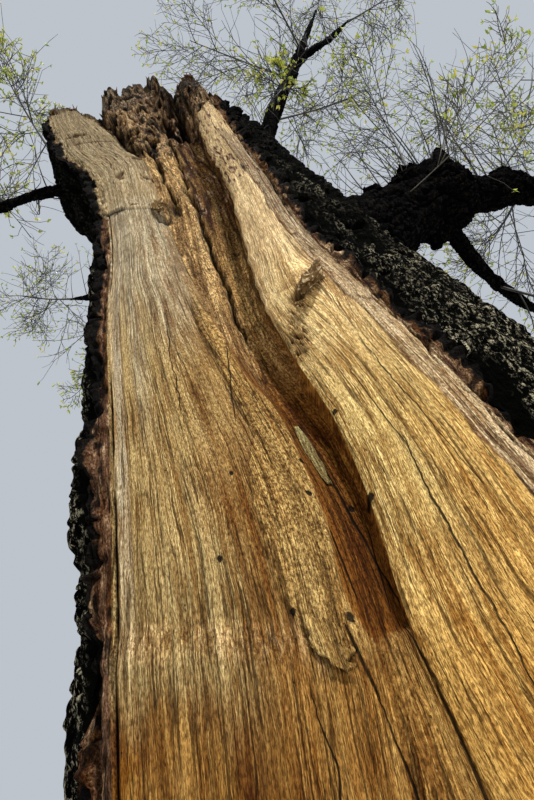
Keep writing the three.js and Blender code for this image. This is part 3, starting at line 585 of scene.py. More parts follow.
def wood_grain_group():
    """Fibres, dark threads between ribs, dashes and checks: a tint to multiply by, and their height."""
    group, inside, outside = new_group("wood grain", {
        "Fibre Width": 0.004, "Fibre Length": 0.16, "Dark Streak": (0.4, 0.3, 0.2, 1), "Strength": 1.0,
        "Coarseness": 0.0,
    }, [("Tint", COLOUR), ("Height", NUMBER)])
    place = parts_of(group, inside["Place"])
    waver = noise(group, inside["Place"], (0.05, 0.22, 1), 2.0)
    flutter = noise(group, inside["Place"], (0.012, 0.03, 1), 2.0)
    shifted = add_product(group, waver, 0.012, place["X"])
    shifted = add_product(group, flutter, 0.0035, shifted)
    across = calculate(group, "DIVIDE", shifted, inside["Fibre Width"])
    lengthwise = calculate(group, "DIVIDE", place["Y"], inside["Fibre Length"])
    fibres = place_node(group, "ShaderNodeCombineXYZ", {"X": across, "Y": lengthwise}).outputs[0]
    fine = noise(group, fibres, (1, 1, 1), 5.0, 0.78)
    close_grains = noise(group, fibres, (0.9, 0.22, 1), 2.0, 0.6)
    far_grains = noise(group, fibres, (2.7, 0.6, 1), 2.0, 0.6)
    coarser = difference(group, far_grains, close_grains)
    grains = add_product(group, coarser, inside["Coarseness"], close_grains)
    streaks = noise(group, fibres, (3.4, 3.5, 1), 3.0, 0.6)
    bands = noise(group, fibres, (11.0, 9.0, 1), 2.0, 0.5)
    worn = fade(group, noise(group, fibres, (16.0, 7.0, 1), 2.0), 0.38, 0.58, 0.35, 1.0)
    threads = product(group, thin_lines(group, fibres, (2.2, 5.0, 1), 0.06), worn)
    grooves = product(group, thin_lines(group, fibres, (4.6, 8.0, 1), 0.046), worn)
    checks = thin_lines(group, fibres, (8.0, 10.0, 1), 0.032, 3.0)
    checks = product(group, checks, fade(group, streaks, 0.56, 0.46))
    dashes = fade(group, noise(group, fibres, (1.9, 0.45, 1), 2.0), 0.64, 0.7)
    drift = product(group, noise(group, fibres, (12.0, 7.0, 1), 2.0), RIB_DRIFT)
    turn = add_product(group, across, 2 * math.pi / RIB_PITCH, drift)
    rib = calculate(group, "SINE", turn)
    valleys = product(group, fade(group, rib, -0.45, -0.97), worn)
    colour = blend_colour(group, fade(group, fine, 0.36, 0.58), (0.62, 0.54, 0.43, 1), (1.18, 1.18, 1.18, 1))
    for value, low, high, dark, pale in (
        (streaks, 0.34, 0.6, (0.91, 0.87, 0.8), (1.03, 1.03, 1.03)),
        (bands, 0.38, 0.6, (0.88, 0.83, 0.76), (1.06, 1.06, 1.06)),
        (grains, 0.41, 0.57, (0.6, 0.56, 0.5), (1.36, 1.38, 1.4)),
    ):
        colour = veiled(group, colour, fade(group, value, low, high), dark, pale)
    lines = larger(group, product(group, threads, 0.9), product(group, grooves, 0.75))
    lines = larger(group, lines, product(group, valleys, 0.48))
    veil = blend_colour(group, lines, (1.0, 1.0, 1.0, 1.0), inside["Dark Streak"])
    colour = blend_colour(group, 1.0, colour, veil, "MULTIPLY")
    marks = larger(group, checks, product(group, dashes, 0.75))
    colour = blend_colour(group, product(group, marks, 0.7), colour, (0.05, 0.026, 0.01, 1))
    colour = blend_colour(group, inside["Strength"], (0.94, 0.91, 0.86, 1), colour)
    height = add_product(group, fine, 0.9, product(group, streaks, 1.1))
    height = add_product(group, grains, 0.6, height)
    height = add_product(group, product(group, rib, worn), 0.16, height)
    height = add_product(group, lines, -0.5, height)
    height = add_product(group, marks, -0.7, height)
    height = product(group, height, fade(group, inside["Strength"], 0.0, 1.0, 0.35, 1.0))
    group.links.new(colour, outside["Tint"])
    group.links.new(height, outside["Height"])
    return group


def split_line_group():
    """One long crack between a foot and a head on the torn face: 1 in the crack, 0 beside it."""
    group, inside, outside = new_group("split line", {
        "Ripple": 0.5, "Foot X": 0.0, "Foot Z": 1.5, "Head X": 0.0, "Head Z": 2.5, "Width": 0.004,
        "Waver": 0.01,
    })
    place = parts_of(group, inside["Place"])
    x, z = place["X"], place["Z"]
    share = place_node(group, "ShaderNodeMapRange", {
        "Value": z, "From Min": inside["Foot Z"], "From Max": inside["Head Z"],
    }, clamp=True).outputs[0]
    straight = place_node(group, "ShaderNodeMapRange", {
        "Value": share, "To Min": inside["Foot X"], "To Max": inside["Head X"],
    }).outputs[0]
    offset = product(group, difference(group, inside["Ripple"], 0.5), inside["Waver"])
    middle = add_product(group, offset, 2.0, straight)
    distance = calculate(group, "ABSOLUTE", difference(group, x, middle))
    # The crack is widest halfway up and closes towards its ends
    ends = product(group, share, difference(group, 1.0, share))
    opened = product(group, calculate(group, "POWER", product(group, ends, 4.0), 0.5), inside["Width"])
    opened = calculate(group, "ADD", opened, 1e-5)
    mask = difference(group, 1.0, calculate(group, "DIVIDE", distance, opened))
    group.links.new(fade(group, mask, 0.0, 0.7), outside["Mask"])
    return group


def insect_holes_group():
    """Small round holes scattered over the wood: 1 in a hole."""
    group, inside, outside = new_group("insect holes", {"Spacing": 0.05, "Share": 0.3, "Radius": 0.05})
    size = calculate(group, "DIVIDE", 1.0, inside["Spacing"])
    cells = place_node(group, "ShaderNodeTexVoronoi", {
        "Vector": scaled(group, inside["Place"], (1, 1, 1.5)), "Scale": size, "Randomness": 1.0,
    })
    chosen = place_node(group, "ShaderNodeSeparateColor", {0: cells.outputs["Color"]}).outputs[0]
    is_hole = calculate(group, "LESS_THAN", chosen, inside["Share"])
    near = difference(group, 1.0, calculate(group, "DIVIDE", cells.outputs["Distance"], inside["Radius"]))
    group.links.new(product(group, is_hole, fade(group, near, 0.0, 0.5)), outside["Mask"])
    return group


def lichen_group():
    """Soft patches with a grainy edge: 1 in a patch."""
    group, inside, outside = new_group("lichen", {"Cover": 0.5})
    patches = noise(group, inside["Place"], (0.3, 0.3, 0.36), 2.0)
    grains = noise(group, inside["Place"], (0.018, 0.018, 0.022), 3.0, 0.7)
    both = add_product(group, grains, 0.55, product(group, patches, 0.45))
    level = difference(group, 1.0, inside["Cover"])
    over = difference(group, both, level)
    group.links.new(fade(group, over, 0.0, 0.1), outside["Mask"])
    return group


def use_group(tree, group, inputs):
    return place_node(tree, "ShaderNodeGroup", inputs, node_tree=group).outputs


def new_material(name):
    material = bpy.data.materials.new(name)
    material.use_nodes = True
    tree = material.node_tree
    return material, tree, tree.nodes["Principled BSDF"].inputs


def bored_hole_group():
    """One round hole bored in the torn face: 1 in the hole."""
    group, inside, outside = new_group("bored hole", {
        "Ripple": 0.5, "Middle X": 0.0, "Middle Z": 2.5, "Radius": 0.008,
    })
    place = parts_of(group, inside["Place"])
    x = difference(group, place["X"], inside["Middle X"])
    z = product(group, difference(group, place["Z"], inside["Middle Z"]), 0.7)
    both = calculate(group, "ADD", product(group, x, x), product(group, z, z))
    spread = calculate(group, "DIVIDE", calculate(group, "SQRT", both), inside["Radius"])
    ragged = add_product(group, inside["Ripple"], 0.9, spread)
    group.links.new(fade(group, ragged, 1.55, 1.15), outside["Mask"])
    return group


# Long cracks of the torn face: place and height of the foot, then of the head, width, waver
SPLITS = [
    (0.052, 1.15, 0.034, 2.135, 0.006, 0.014),
    (-0.078, 1.98, -0.096, 2.15, 0.006, 0.004),
    (-0.066, 1.25, -0.078, 2.01, 0.004, 0.022),
    (0.046, 2.18, -0.012, 2.862, 0.0052, 0.01),
    (-0.047, 2.2, -0.049, 2.42, 0.0036, 0.006),
    (0.018, 2.17, 0.052, 2.42, 0.0026, 0.008),
    (0.2, 1.85, 0.222, 2.62, 0.004, 0.02),
    (0.222, 2.56, 0.184, 2.96, 0.0026, 0.012),
    (0.33, 1.3, 0.262, 2.05, 0.004, 0.016),
    (0.43, 1.35, 0.36, 2.15, 0.0034, 0.014),
    (0.345, 2.35, 0.262, 3.05, 0.0026, 0.016),
    (-0.205, 2.85, -0.155, 3.33, 0.0034, 0.016),
    (-0.355, 2.88, -0.345, 3.56, 0.0026, 0.024),
    (-0.23, 1.35, -0.205, 2.04, 0.003, 0.026),
]
# Holes bored in it: place across, height and radius
BORED_HOLES = [
    (0.08, 2.468, 0.011), (0.032, 2.49, 0.009), (0.094, 2.806, 0.008), (-0.068, 2.525, 0.008),
    (-0.053, 2.65, 0.0075), (-0.079, 2.162, 0.01), (-0.33, 2.384, 0.0075), (-0.252, 2.645, 0.006),
    (-0.197, 2.199, 0.007),
]

# Heights between which the grain grows fainter up the trunk, and between which it grows coarser
FAINT_GRAIN = (2.9, 4.4)
COARSE_GRAIN = (2.8, 4.6)
# Small round marks all over: the pits of rotten wood, and insect holes
PITS = {"Spacing": 0.0095, "Share": 0.42, "Radius": 0.34}
SPECKS = {"Spacing": 0.04, "Share": 0.26, "Radius": 0.07}
# How dark each mark is, and how deep against the grain's own height
PIT_MARK, SPECK_MARK, CRACK_MARK, HOLE_MARK = (0.55, -0.8), (0.8, -0.8), (0.92, -1.6), (0.95, -1.6)
CRUMB_SIZES, CRUMB_HEIGHT = (0.009, 0.009, 0.014), 3.0
WOOD_SHINE, BARK_SHINE, BARK_ROUGHNESS = 0.05, 0.01, 0.95


def rough_finish(tree, shader, colour, height, relief, roughness, shine):
    """Wires a colour and a relief into a surface, with its plain roughness and shine."""
    bump = place_node(tree, "ShaderNodeBump", {"Height": height, "Strength": 1.0, "Distance": relief})
    tree.links.new(colour, shader["Base Color"])
    tree.links.new(bump.outputs["Normal"], shader["Normal"])
    shader["Roughness"].default_value = roughness
    shader["Specular IOR Level"].default_value = shine


def wood_material(name, groups, fibre, streak, roughness, splits=(), bored=(), relief=0.004, faintest=0.75):
    """Bare wood: the painted tone, grain, cracks, pits and insect holes."""
    material, tree, shader = new_material(name)
    place = object_place(tree)
    grain_place = place_node(tree, "ShaderNodeUVMap", uv_map="grain").outputs["UV"]
    tone = place_node(tree, "ShaderNodeAttribute", attribute_name="tone").outputs
    up = parts_of(tree, place)["Z"]
    grain = use_group(tree, groups["grain"], {
        "Place": grain_place, "Fibre Width": fibre[0], "Fibre Length": fibre[1],
        "Dark Streak": opaque(streak), "Strength": fade(tree, up, *FAINT_GRAIN, 1.0, faintest),
        "Coarseness": fade(tree, up, *COARSE_GRAIN),
    })
    colour = blend_colour(tree, 1.0, tone["Color"], grain["Tint"], "MULTIPLY")
    height = grain["Height"]
    pits = use_group(tree, groups["holes"], {"Place": place, **PITS})["Mask"]
    specks = use_group(tree, groups["holes"], {"Place": place, **SPECKS})["Mask"]
    marks = [(product(tree, pits, tone["Alpha"]), PIT_MARK), (specks, SPECK_MARK)]
    ripple = noise(tree, place, (0.15, 1, 0.16), 3.0, 0.6)
    edge_ripple = noise(tree, place, (0.008, 0.008, 0.008))
    for foot_x, foot_z, head_x, head_z, width, waver in splits:
        crack = use_group(tree, groups["split"], {
            "Place": place, "Ripple": ripple, "Foot X": foot_x, "Foot Z": foot_z, "Head X": head_x,
            "Head Z": head_z, "Width": width, "Waver": waver,
        })["Mask"]
        marks.append((crack, CRACK_MARK))
    for x, z, radius in bored:
        hole = use_group(tree, groups["bored"], {
            "Place": place, "Ripple": edge_ripple, "Middle X": x, "Middle Z": z, "Radius": radius,
        })["Mask"]
        marks.append((hole, HOLE_MARK))
    for mask, (darkness, depth) in marks:
        colour = blend_colour(tree, product(tree, mask, darkness), colour, opaque(PITCH))
        height = add_product(tree, mask, depth, height)
    crumbs = noise(tree, place, CRUMB_SIZES, 4.0, 0.7)
    veil = blend_colour(tree, fade(tree, crumbs, 0.41, 0.56), (0.46, 0.38, 0.3, 1), (1.32, 1.32, 1.3, 1))
    colour = blend_colour(tree, tone["Alpha"], colour, veil, "MULTIPLY")
    height = add_product(tree, product(tree, crumbs, tone["Alpha"]), CRUMB_HEIGHT, height)
    rough_finish(tree, shader, colour, height, relief, roughness, WOOD_SHINE)
    return material


# Painted highlights on the crests of the bark's plates: they end at an uneven level up to this high, and fade
# across it
HIGHLIGHT_LEVEL, HIGHLIGHT_FADE = 6.0, (-1.5, 0.5)


def bark_material(name, groups, dark, ridge, tip, cover, relief=0.022):
    """Furrowed bark: black in the furrows, greyer on the ridges with painted highlights at their crests, and
    lichen.
    """
    material, tree, shader = new_material(name)
    place = object_place(tree)
    raised = place_node(tree, "ShaderNodeAttribute", attribute_name="tone").outputs["Fac"]
    scales = noise(tree, place, (0.016, 0.016, 0.036), 4.0, 0.65)
    grit = noise(tree, place, (0.01, 0.01, 0.015), 3.0, 0.7)
    top = product(tree, fade(tree, raised, 0.42, 0.95), fade(tree, scales, 0.48, 0.6))
    colour = blend_colour(tree, top, opaque(dark), opaque(ridge))
    up = parts_of(tree, place)["Z"]
    under_level = add_product(tree, noise(tree, place, (0.22, 0.22, 0.3), 2.0), HIGHLIGHT_LEVEL,
                              product(tree, up, -1.0))
    # Painted highlights: pale spots on the raised plates, fewer higher up the trunk
    tip_highlights = product(tree, top, fade(tree, grit, 0.47, 0.55, 0.0, 1.0))
    tip_highlights = product(tree, tip_highlights, fade(tree, under_level, *HIGHLIGHT_FADE, 0.04, 1.0))
    colour = blend_colour(tree, tip_highlights, colour, opaque(tip))
    lichen = use_group(tree, groups["lichen"], {"Place": place, "Cover": cover})["Mask"]
    lichen = product(tree, lichen, fade(tree, scales, 0.46, 0.6, 0.05, 0.75))
    colour = blend_colour(tree, lichen, colour, opaque(LICHEN))
    height = add_product(tree, scales, 1.0, product(tree, grit, 0.5))
    rough_finish(tree, shader, colour, height, relief, BARK_ROUGHNESS, BARK_SHINE)
    return material


def twig_material(name, dark, pale):
    """Smooth young bark with faint bands of colour."""
    material, tree, shader = new_material(name)
    place = object_place(tree)
    share = fade(tree, noise(tree, place, (0.12, 0.12, 0.12), 2.0), 0.4, 0.62)
    tree.links.new(blend_colour(tree, share, opaque(dark), opaque(pale)), shader["Base Color"])
    shader["Roughness"].default_value = 0.7
    return material


def leaf_material(name, colour):
    """A plain leaf colour with a soft gloss."""
    material, _, shader = new_material(name)
    shader["Base Color"].default_value = opaque(colour)
    shader["Roughness"].default_value = 0.55
    return material


def floor_material():
    material, tree, shader = new_material("pale floor")
    place = object_place(tree)
    share = noise(tree, place, (2.0, 2.0, 2.0), 2.0)
    colour = blend_colour(tree, share, (0.56, 0.56, 0.55, 1), (0.6, 0.6, 0.59, 1))
    tree.links.new(colour, shader["Base Color"])
    shader["Roughness"].default_value = 0.9
    return material


# The trunk

# How far the bark is drawn in under the leaning left top
LEFT_WAIST = 0.065


def trunk_middle(z):
    return (along(LEFT_SIDE, z) + along(RIGHT_SIDE, z)) / 2


def flare(angle, z):
    buttress = np.cos(BUTTRESSES * angle + BUTTRESS_TURN) + UNEVENNESS * np.cos((BUTTRESSES - 1) * angle)
    flute = np.cos(FLUTES * angle + FLUTE_TURN + z / FLUTE_TWIST)
    return 1 + BUTTRESS_DEPTH * buttress * np.exp(-z / BUTTRESS_FADE) + FLUTE_DEPTH * flute


def bark_place(share, z):
    """Places on the bark: share runs from 0 at the left rim, round the back, to 1 at the right rim."""
    middle = trunk_middle(z)
    half = (along(RIGHT_SIDE, z) - along(LEFT_SIDE, z)) / 2
    left_turn = np.arccos((middle - along(LEFT_RIM, z)) / half)
    right_turn = np.arccos((along(RIGHT_RIM, z) - middle) / half)
    angle = np.pi + left_turn - share * (np.pi + left_turn + right_turn)
    turn = np.where(np.cos(angle) < 0, left_turn, right_turn)
    x = half * np.cos(angle)
    y = np.where(np.sin(angle) < 0, -along(RIM_DEPTH, z) * np.sin(angle) / np.sin(turn),
                 along(BACK_SIDE, z) * np.sin(angle))
    rim_fade = rise(0, RIM_BLEND, share) * rise(0, RIM_BLEND, 1 - share)
    factor = 1 + (flare(np.arctan2(y, x), z) - 1) * rim_fade
    return middle + x * factor, y * factor


def face_lines(z):
    """Sideways places of the seven lines down the torn face, from rim to rim."""
    left, right = along(LEFT_RIM, z), along(RIGHT_RIM, z)
    return np.stack([left, left + LEFT_BARK, along(CHANNEL_LEFT, z), along(CHANNEL_HEART, z),
                     along(CHANNEL_RIGHT, z), right - RIGHT_BARK, right])


def face_x(across, z):
    """Sideways place of a column: across counts the stretches between the lines."""
    lines = face_lines(z)
    part = np.clip(np.floor(across).astype(int), 0, 5)
    low = np.take_along_axis(lines, np.broadcast_to(part, z.shape)[None], 0)[0]
    high = np.take_along_axis(lines, np.broadcast_to(part + 1, z.shape)[None], 0)[0]
    return mix(low, high, across - part)


def face_relief(across, z, deep):
    """Depth of the torn face behind its rims: two bulging lobes and the channel between them."""
    in_scoop = 1 - rise(2.8, 3.4, z)
    rot = ROT_BULGE * rise(ROT_FOOT, ROT_FOOT + ROT_RAMP, z)
    stops = (0, 1, 2, 2.5, 3, 3.72, 3.93, 4, 5, 6)
    depth_shares = (0, 0, 0.1, 0.35, 0.7, 1, 0.92, 0.1, 0, 0)
    rot_shares = (0, 0, 0, 1, 0.8, 0, 0, 0, 0, 0)
    step_shares = (0, 1, 0, 0, 0, 0, 0, 0, 1, 0)
    is_lobe = ((across > 1) & (across < 2)) | ((across > 4) & (across < 5))
    bulge = np.where(is_lobe, np.sin(np.pi * (across % 1)), 0) ** np.where(across > 4, 0.55, 1)
    bulge = bulge * (1 - 0.75 * (across < 2) * rise(5.0, 5.9, z))
    scoop_shares = (0, 0, 0.12, 0.62, 0.8, 1, 0.92, 0.1, 0, 0)
    share = mix(np.interp(across, stops, depth_shares), np.interp(across, stops, scoop_shares), in_scoop)
    return (share * deep - np.interp(across, stops, rot_shares) * rot
            - np.interp(across, stops, step_shares) * WOOD_STEP - LOBE_BULGE * bulge)


def stub_edge(share):
    """Height of the fallen half's stub, splintered along its edge."""
    splinters = np.cos(SPLINTER_WAVES[0] * share) + np.cos(SPLINTER_WAVES[1] * share)
    return STUB_HEIGHT + STUB_SPLINTERS * splinters * np.sin(np.pi * share)


def torn_edge(x, y):
    """How far the broken top stands above its smooth line, by place."""
    teeth = np.abs(rough(x / 0.085, y / 0.085, 0.5, 21)) * 0.09
    spikes = 0.045 * rough(x / 0.026, y / 0.026, 0.5, 22)
    return teeth - 0.03 + spikes + 0.02 * rough(x / 0.012, y / 0.012, 0.5, 23)


def rows_under(tops):
    """Heights of all rows, for columns with the given tops."""
    low = np.concatenate([np.arange(start, end - 1e-9, step) for start, end, step in ROW_RUNS])
    high = np.arange(HIGH_ROWS + 1)[:, None] / HIGH_ROWS
    return np.concatenate([np.repeat(low[:, None], len(tops), 1), TEAR_TOP + high * (tops - TEAR_TOP)])


def crumbled(x, y, z):
    """Rotten wood: lumps, and pits from 0 to 1."""
    pits = rise(0.26, 0.38, rough(x / 0.036, y / 0.036, z / 0.058, 31))
    lumps = rough(x / 0.12, y / 0.12, z / 0.19, 32)
    chips = rough(x / 0.026, y / 0.026, z / 0.044, 33)
    return 0.034 * lumps + 0.013 * chips - 0.038 * pits, pits


def bark_outward(x, y, z):
    """Directions straight out from the trunk's middle."""
    out = np.stack([x - trunk_middle(z), y, np.zeros_like(z)], -1)
    return out / np.linalg.norm(out, axis=-1, keepdims=True)


def bark_surface(shares):
    """Corners and ridges of the trunk's bark for columns at the given shares."""
    x, y = bark_place(shares, np.full_like(shares, TOP_LINE))
    tops = along(TOP_OF_BARK, shares) + torn_edge(x, y)
    z = rows_under(tops)
    x, y = bark_place(shares, z)
    x = x + LEFT_WAIST * band(5.1, 0.95, z) * rise(0, 0.04, shares) * (1 - rise(0.22, 0.38, shares))
    height, ridge = bark_relief(x, y, z)
    broken = rise(0.3, 0.02, np.abs(tops - z))
    corners = np.stack([x, y, z], -1) + bark_outward(x, y, z) * height[..., None]
    corners[..., 2] = np.maximum(corners[..., 2], 0)
    return corners, ridge * (1 - 0.4 * broken)


# Lines down the torn face that only its looks need, as (height, sideways place)
SCOOP_LEFT = [(2.06, -0.022), (2.12, -0.052), (2.2, -0.07), (2.3, -0.066), (2.42, -0.05), (2.65, -0.048),
              (2.92, -0.068), (3.07, -0.117), (3.47, -0.17), (4.21, -0.24)]
RIDGE_LEFT = [(2.05, -0.15), (2.15, -0.183), (2.25, -0.215), (2.4, -0.215), (2.6, -0.203), (2.8, -0.17),
              (2.92, -0.172), (3.3, -0.215), (3.7, -0.25), (4.2, -0.27)]
# Two black crevices of the channel, and the right one's wall
CREVICE = [(3.2, -0.075), (3.95, -0.085), (4.25, -0.08), (4.62, -0.085), (5.0, -0.09), (5.41, -0.09),
           (5.85, -0.11)]
SIDE_CREVICE = [(4.5, -0.2), (4.7, -0.19), (4.95, -0.2), (5.35, -0.225), (5.6, -0.25)]
# Notches in the broken top's outline, as share of its width, half width and depth
NOTCHES = [(0.335, 0.04, 0.26), (0.775, 0.05, 0.3), (0.88, 0.06, 0.09)]
# Lines across it, as (sideways place, height)
ROT_LINE = [(-0.62, 6.5), (-0.54, 6.31), (-0.39, 5.73), (-0.28, 5.45), (-0.15, 5.44), (-0.02, 5.72),
            (0.07, 5.92), (0.14, 5.86), (0.32, 6.02)]
LEDGE = [(-0.64, 4.74), (-0.557, 4.705), (-0.455, 4.615), (-0.38, 4.575), (-0.3, 4.6), (-0.24, 4.66)]
LEDGE_STEP = 0.011
# The band of combed fibres across the left lobe: its height at x = 0, and its fall to the right
FRAY_LEVEL, FRAY_SLOPE = 2.06, 0.32
# How pitted each zone is, and the least for all
PITTED_SHARES = {"ridge": 0.5, "upper": 0.62, "wavy": 0.35, "rot": 1, "fray": 0.4, "strip": 1,
                 "right_sap": 0.45}
LEAST_PITTED = 0.16
# How far the right lobe's torn edge wanders along the channel
LOBE_EDGE_WANDER = 0.014
# Width of the grey sapwood inside each rim's bark
LEFT_SAP, RIGHT_SAP = 0.05, 0.09
HAIRLINE = [(-0.73, 5.96), (-0.6, 5.93), (-0.42, 5.86)]

# Knots of the torn face: sideways place, height, half width, half height
LEFT_KNOT = (-0.27, 4.59, 0.036, 0.1)
RIGHT_KNOT = (0.216, 3.47, 0.056, 0.05)
# The pocket is a dent below and left of the right knot, painted black as the knot's shadow
KNOT_POCKET = (0.16, 3.41, 0.03, 0.045)
# The tear below the right knot, as a line down it, and the black hollow of the broken top
TEAR_TRAIL = [(3.08, 0.062), (3.22, 0.082), (3.42, 0.145)]
CAVITY = (-0.04, 6.17, 0.12, 0.38)
# Dark scars of the left lobe
SCARS = [(-0.725, 6.16, 0.075, 0.05), (-0.445, 5.06, 0.03, 0.055), (-0.34, 5.44, 0.06, 0.032),
         (-0.29, 5.04, 0.04, 0.045)]


def around(knot, x, z, wobble=0.0):
    """Distance from a knot's middle in units of its own size, with an uneven outline."""
    spread = np.hypot((x - knot[0]) / knot[2], (z - knot[1]) / knot[3])
    return spread + wobble * rough(x / 0.022, 0.5, z / 0.04, 91)


def grain_places(across, x, y, z):
    """Places along the grain: columns follow it, and it bends round the knots."""
    u = np.broadcast_to(face_x(across, np.full_like(across, 2.5)), z.shape).copy()
    for knot, reach in ((LEFT_KNOT, 1.9), (RIGHT_KNOT, 2.2)):
        spread = np.hypot((x - knot[0]) / knot[2], (z - knot[1]) / (2.2 * knot[3])) / reach
        u -= 0.85 * (x - knot[0]) * np.exp(-spread**2)
    u += 0.01 * rough(x / 0.13, 0.5, z / 0.3, 92) * (across < 2)
    # Up the widening channel the fibres keep their size, measured along its walls from its heart
    run = np.zeros_like(x)
    run[:, 1:] = np.cumsum(np.hypot(np.diff(x, axis=1), np.diff(y, axis=1)), axis=1)
    run -= run[:, [int(np.searchsorted(across, 3))]]
    in_channel = rise(1.9, 2.05, across) * (1 - rise(3.98, 4.02, across))
    return mix(u, run, in_channel * rise(2.9, 3.7, z))


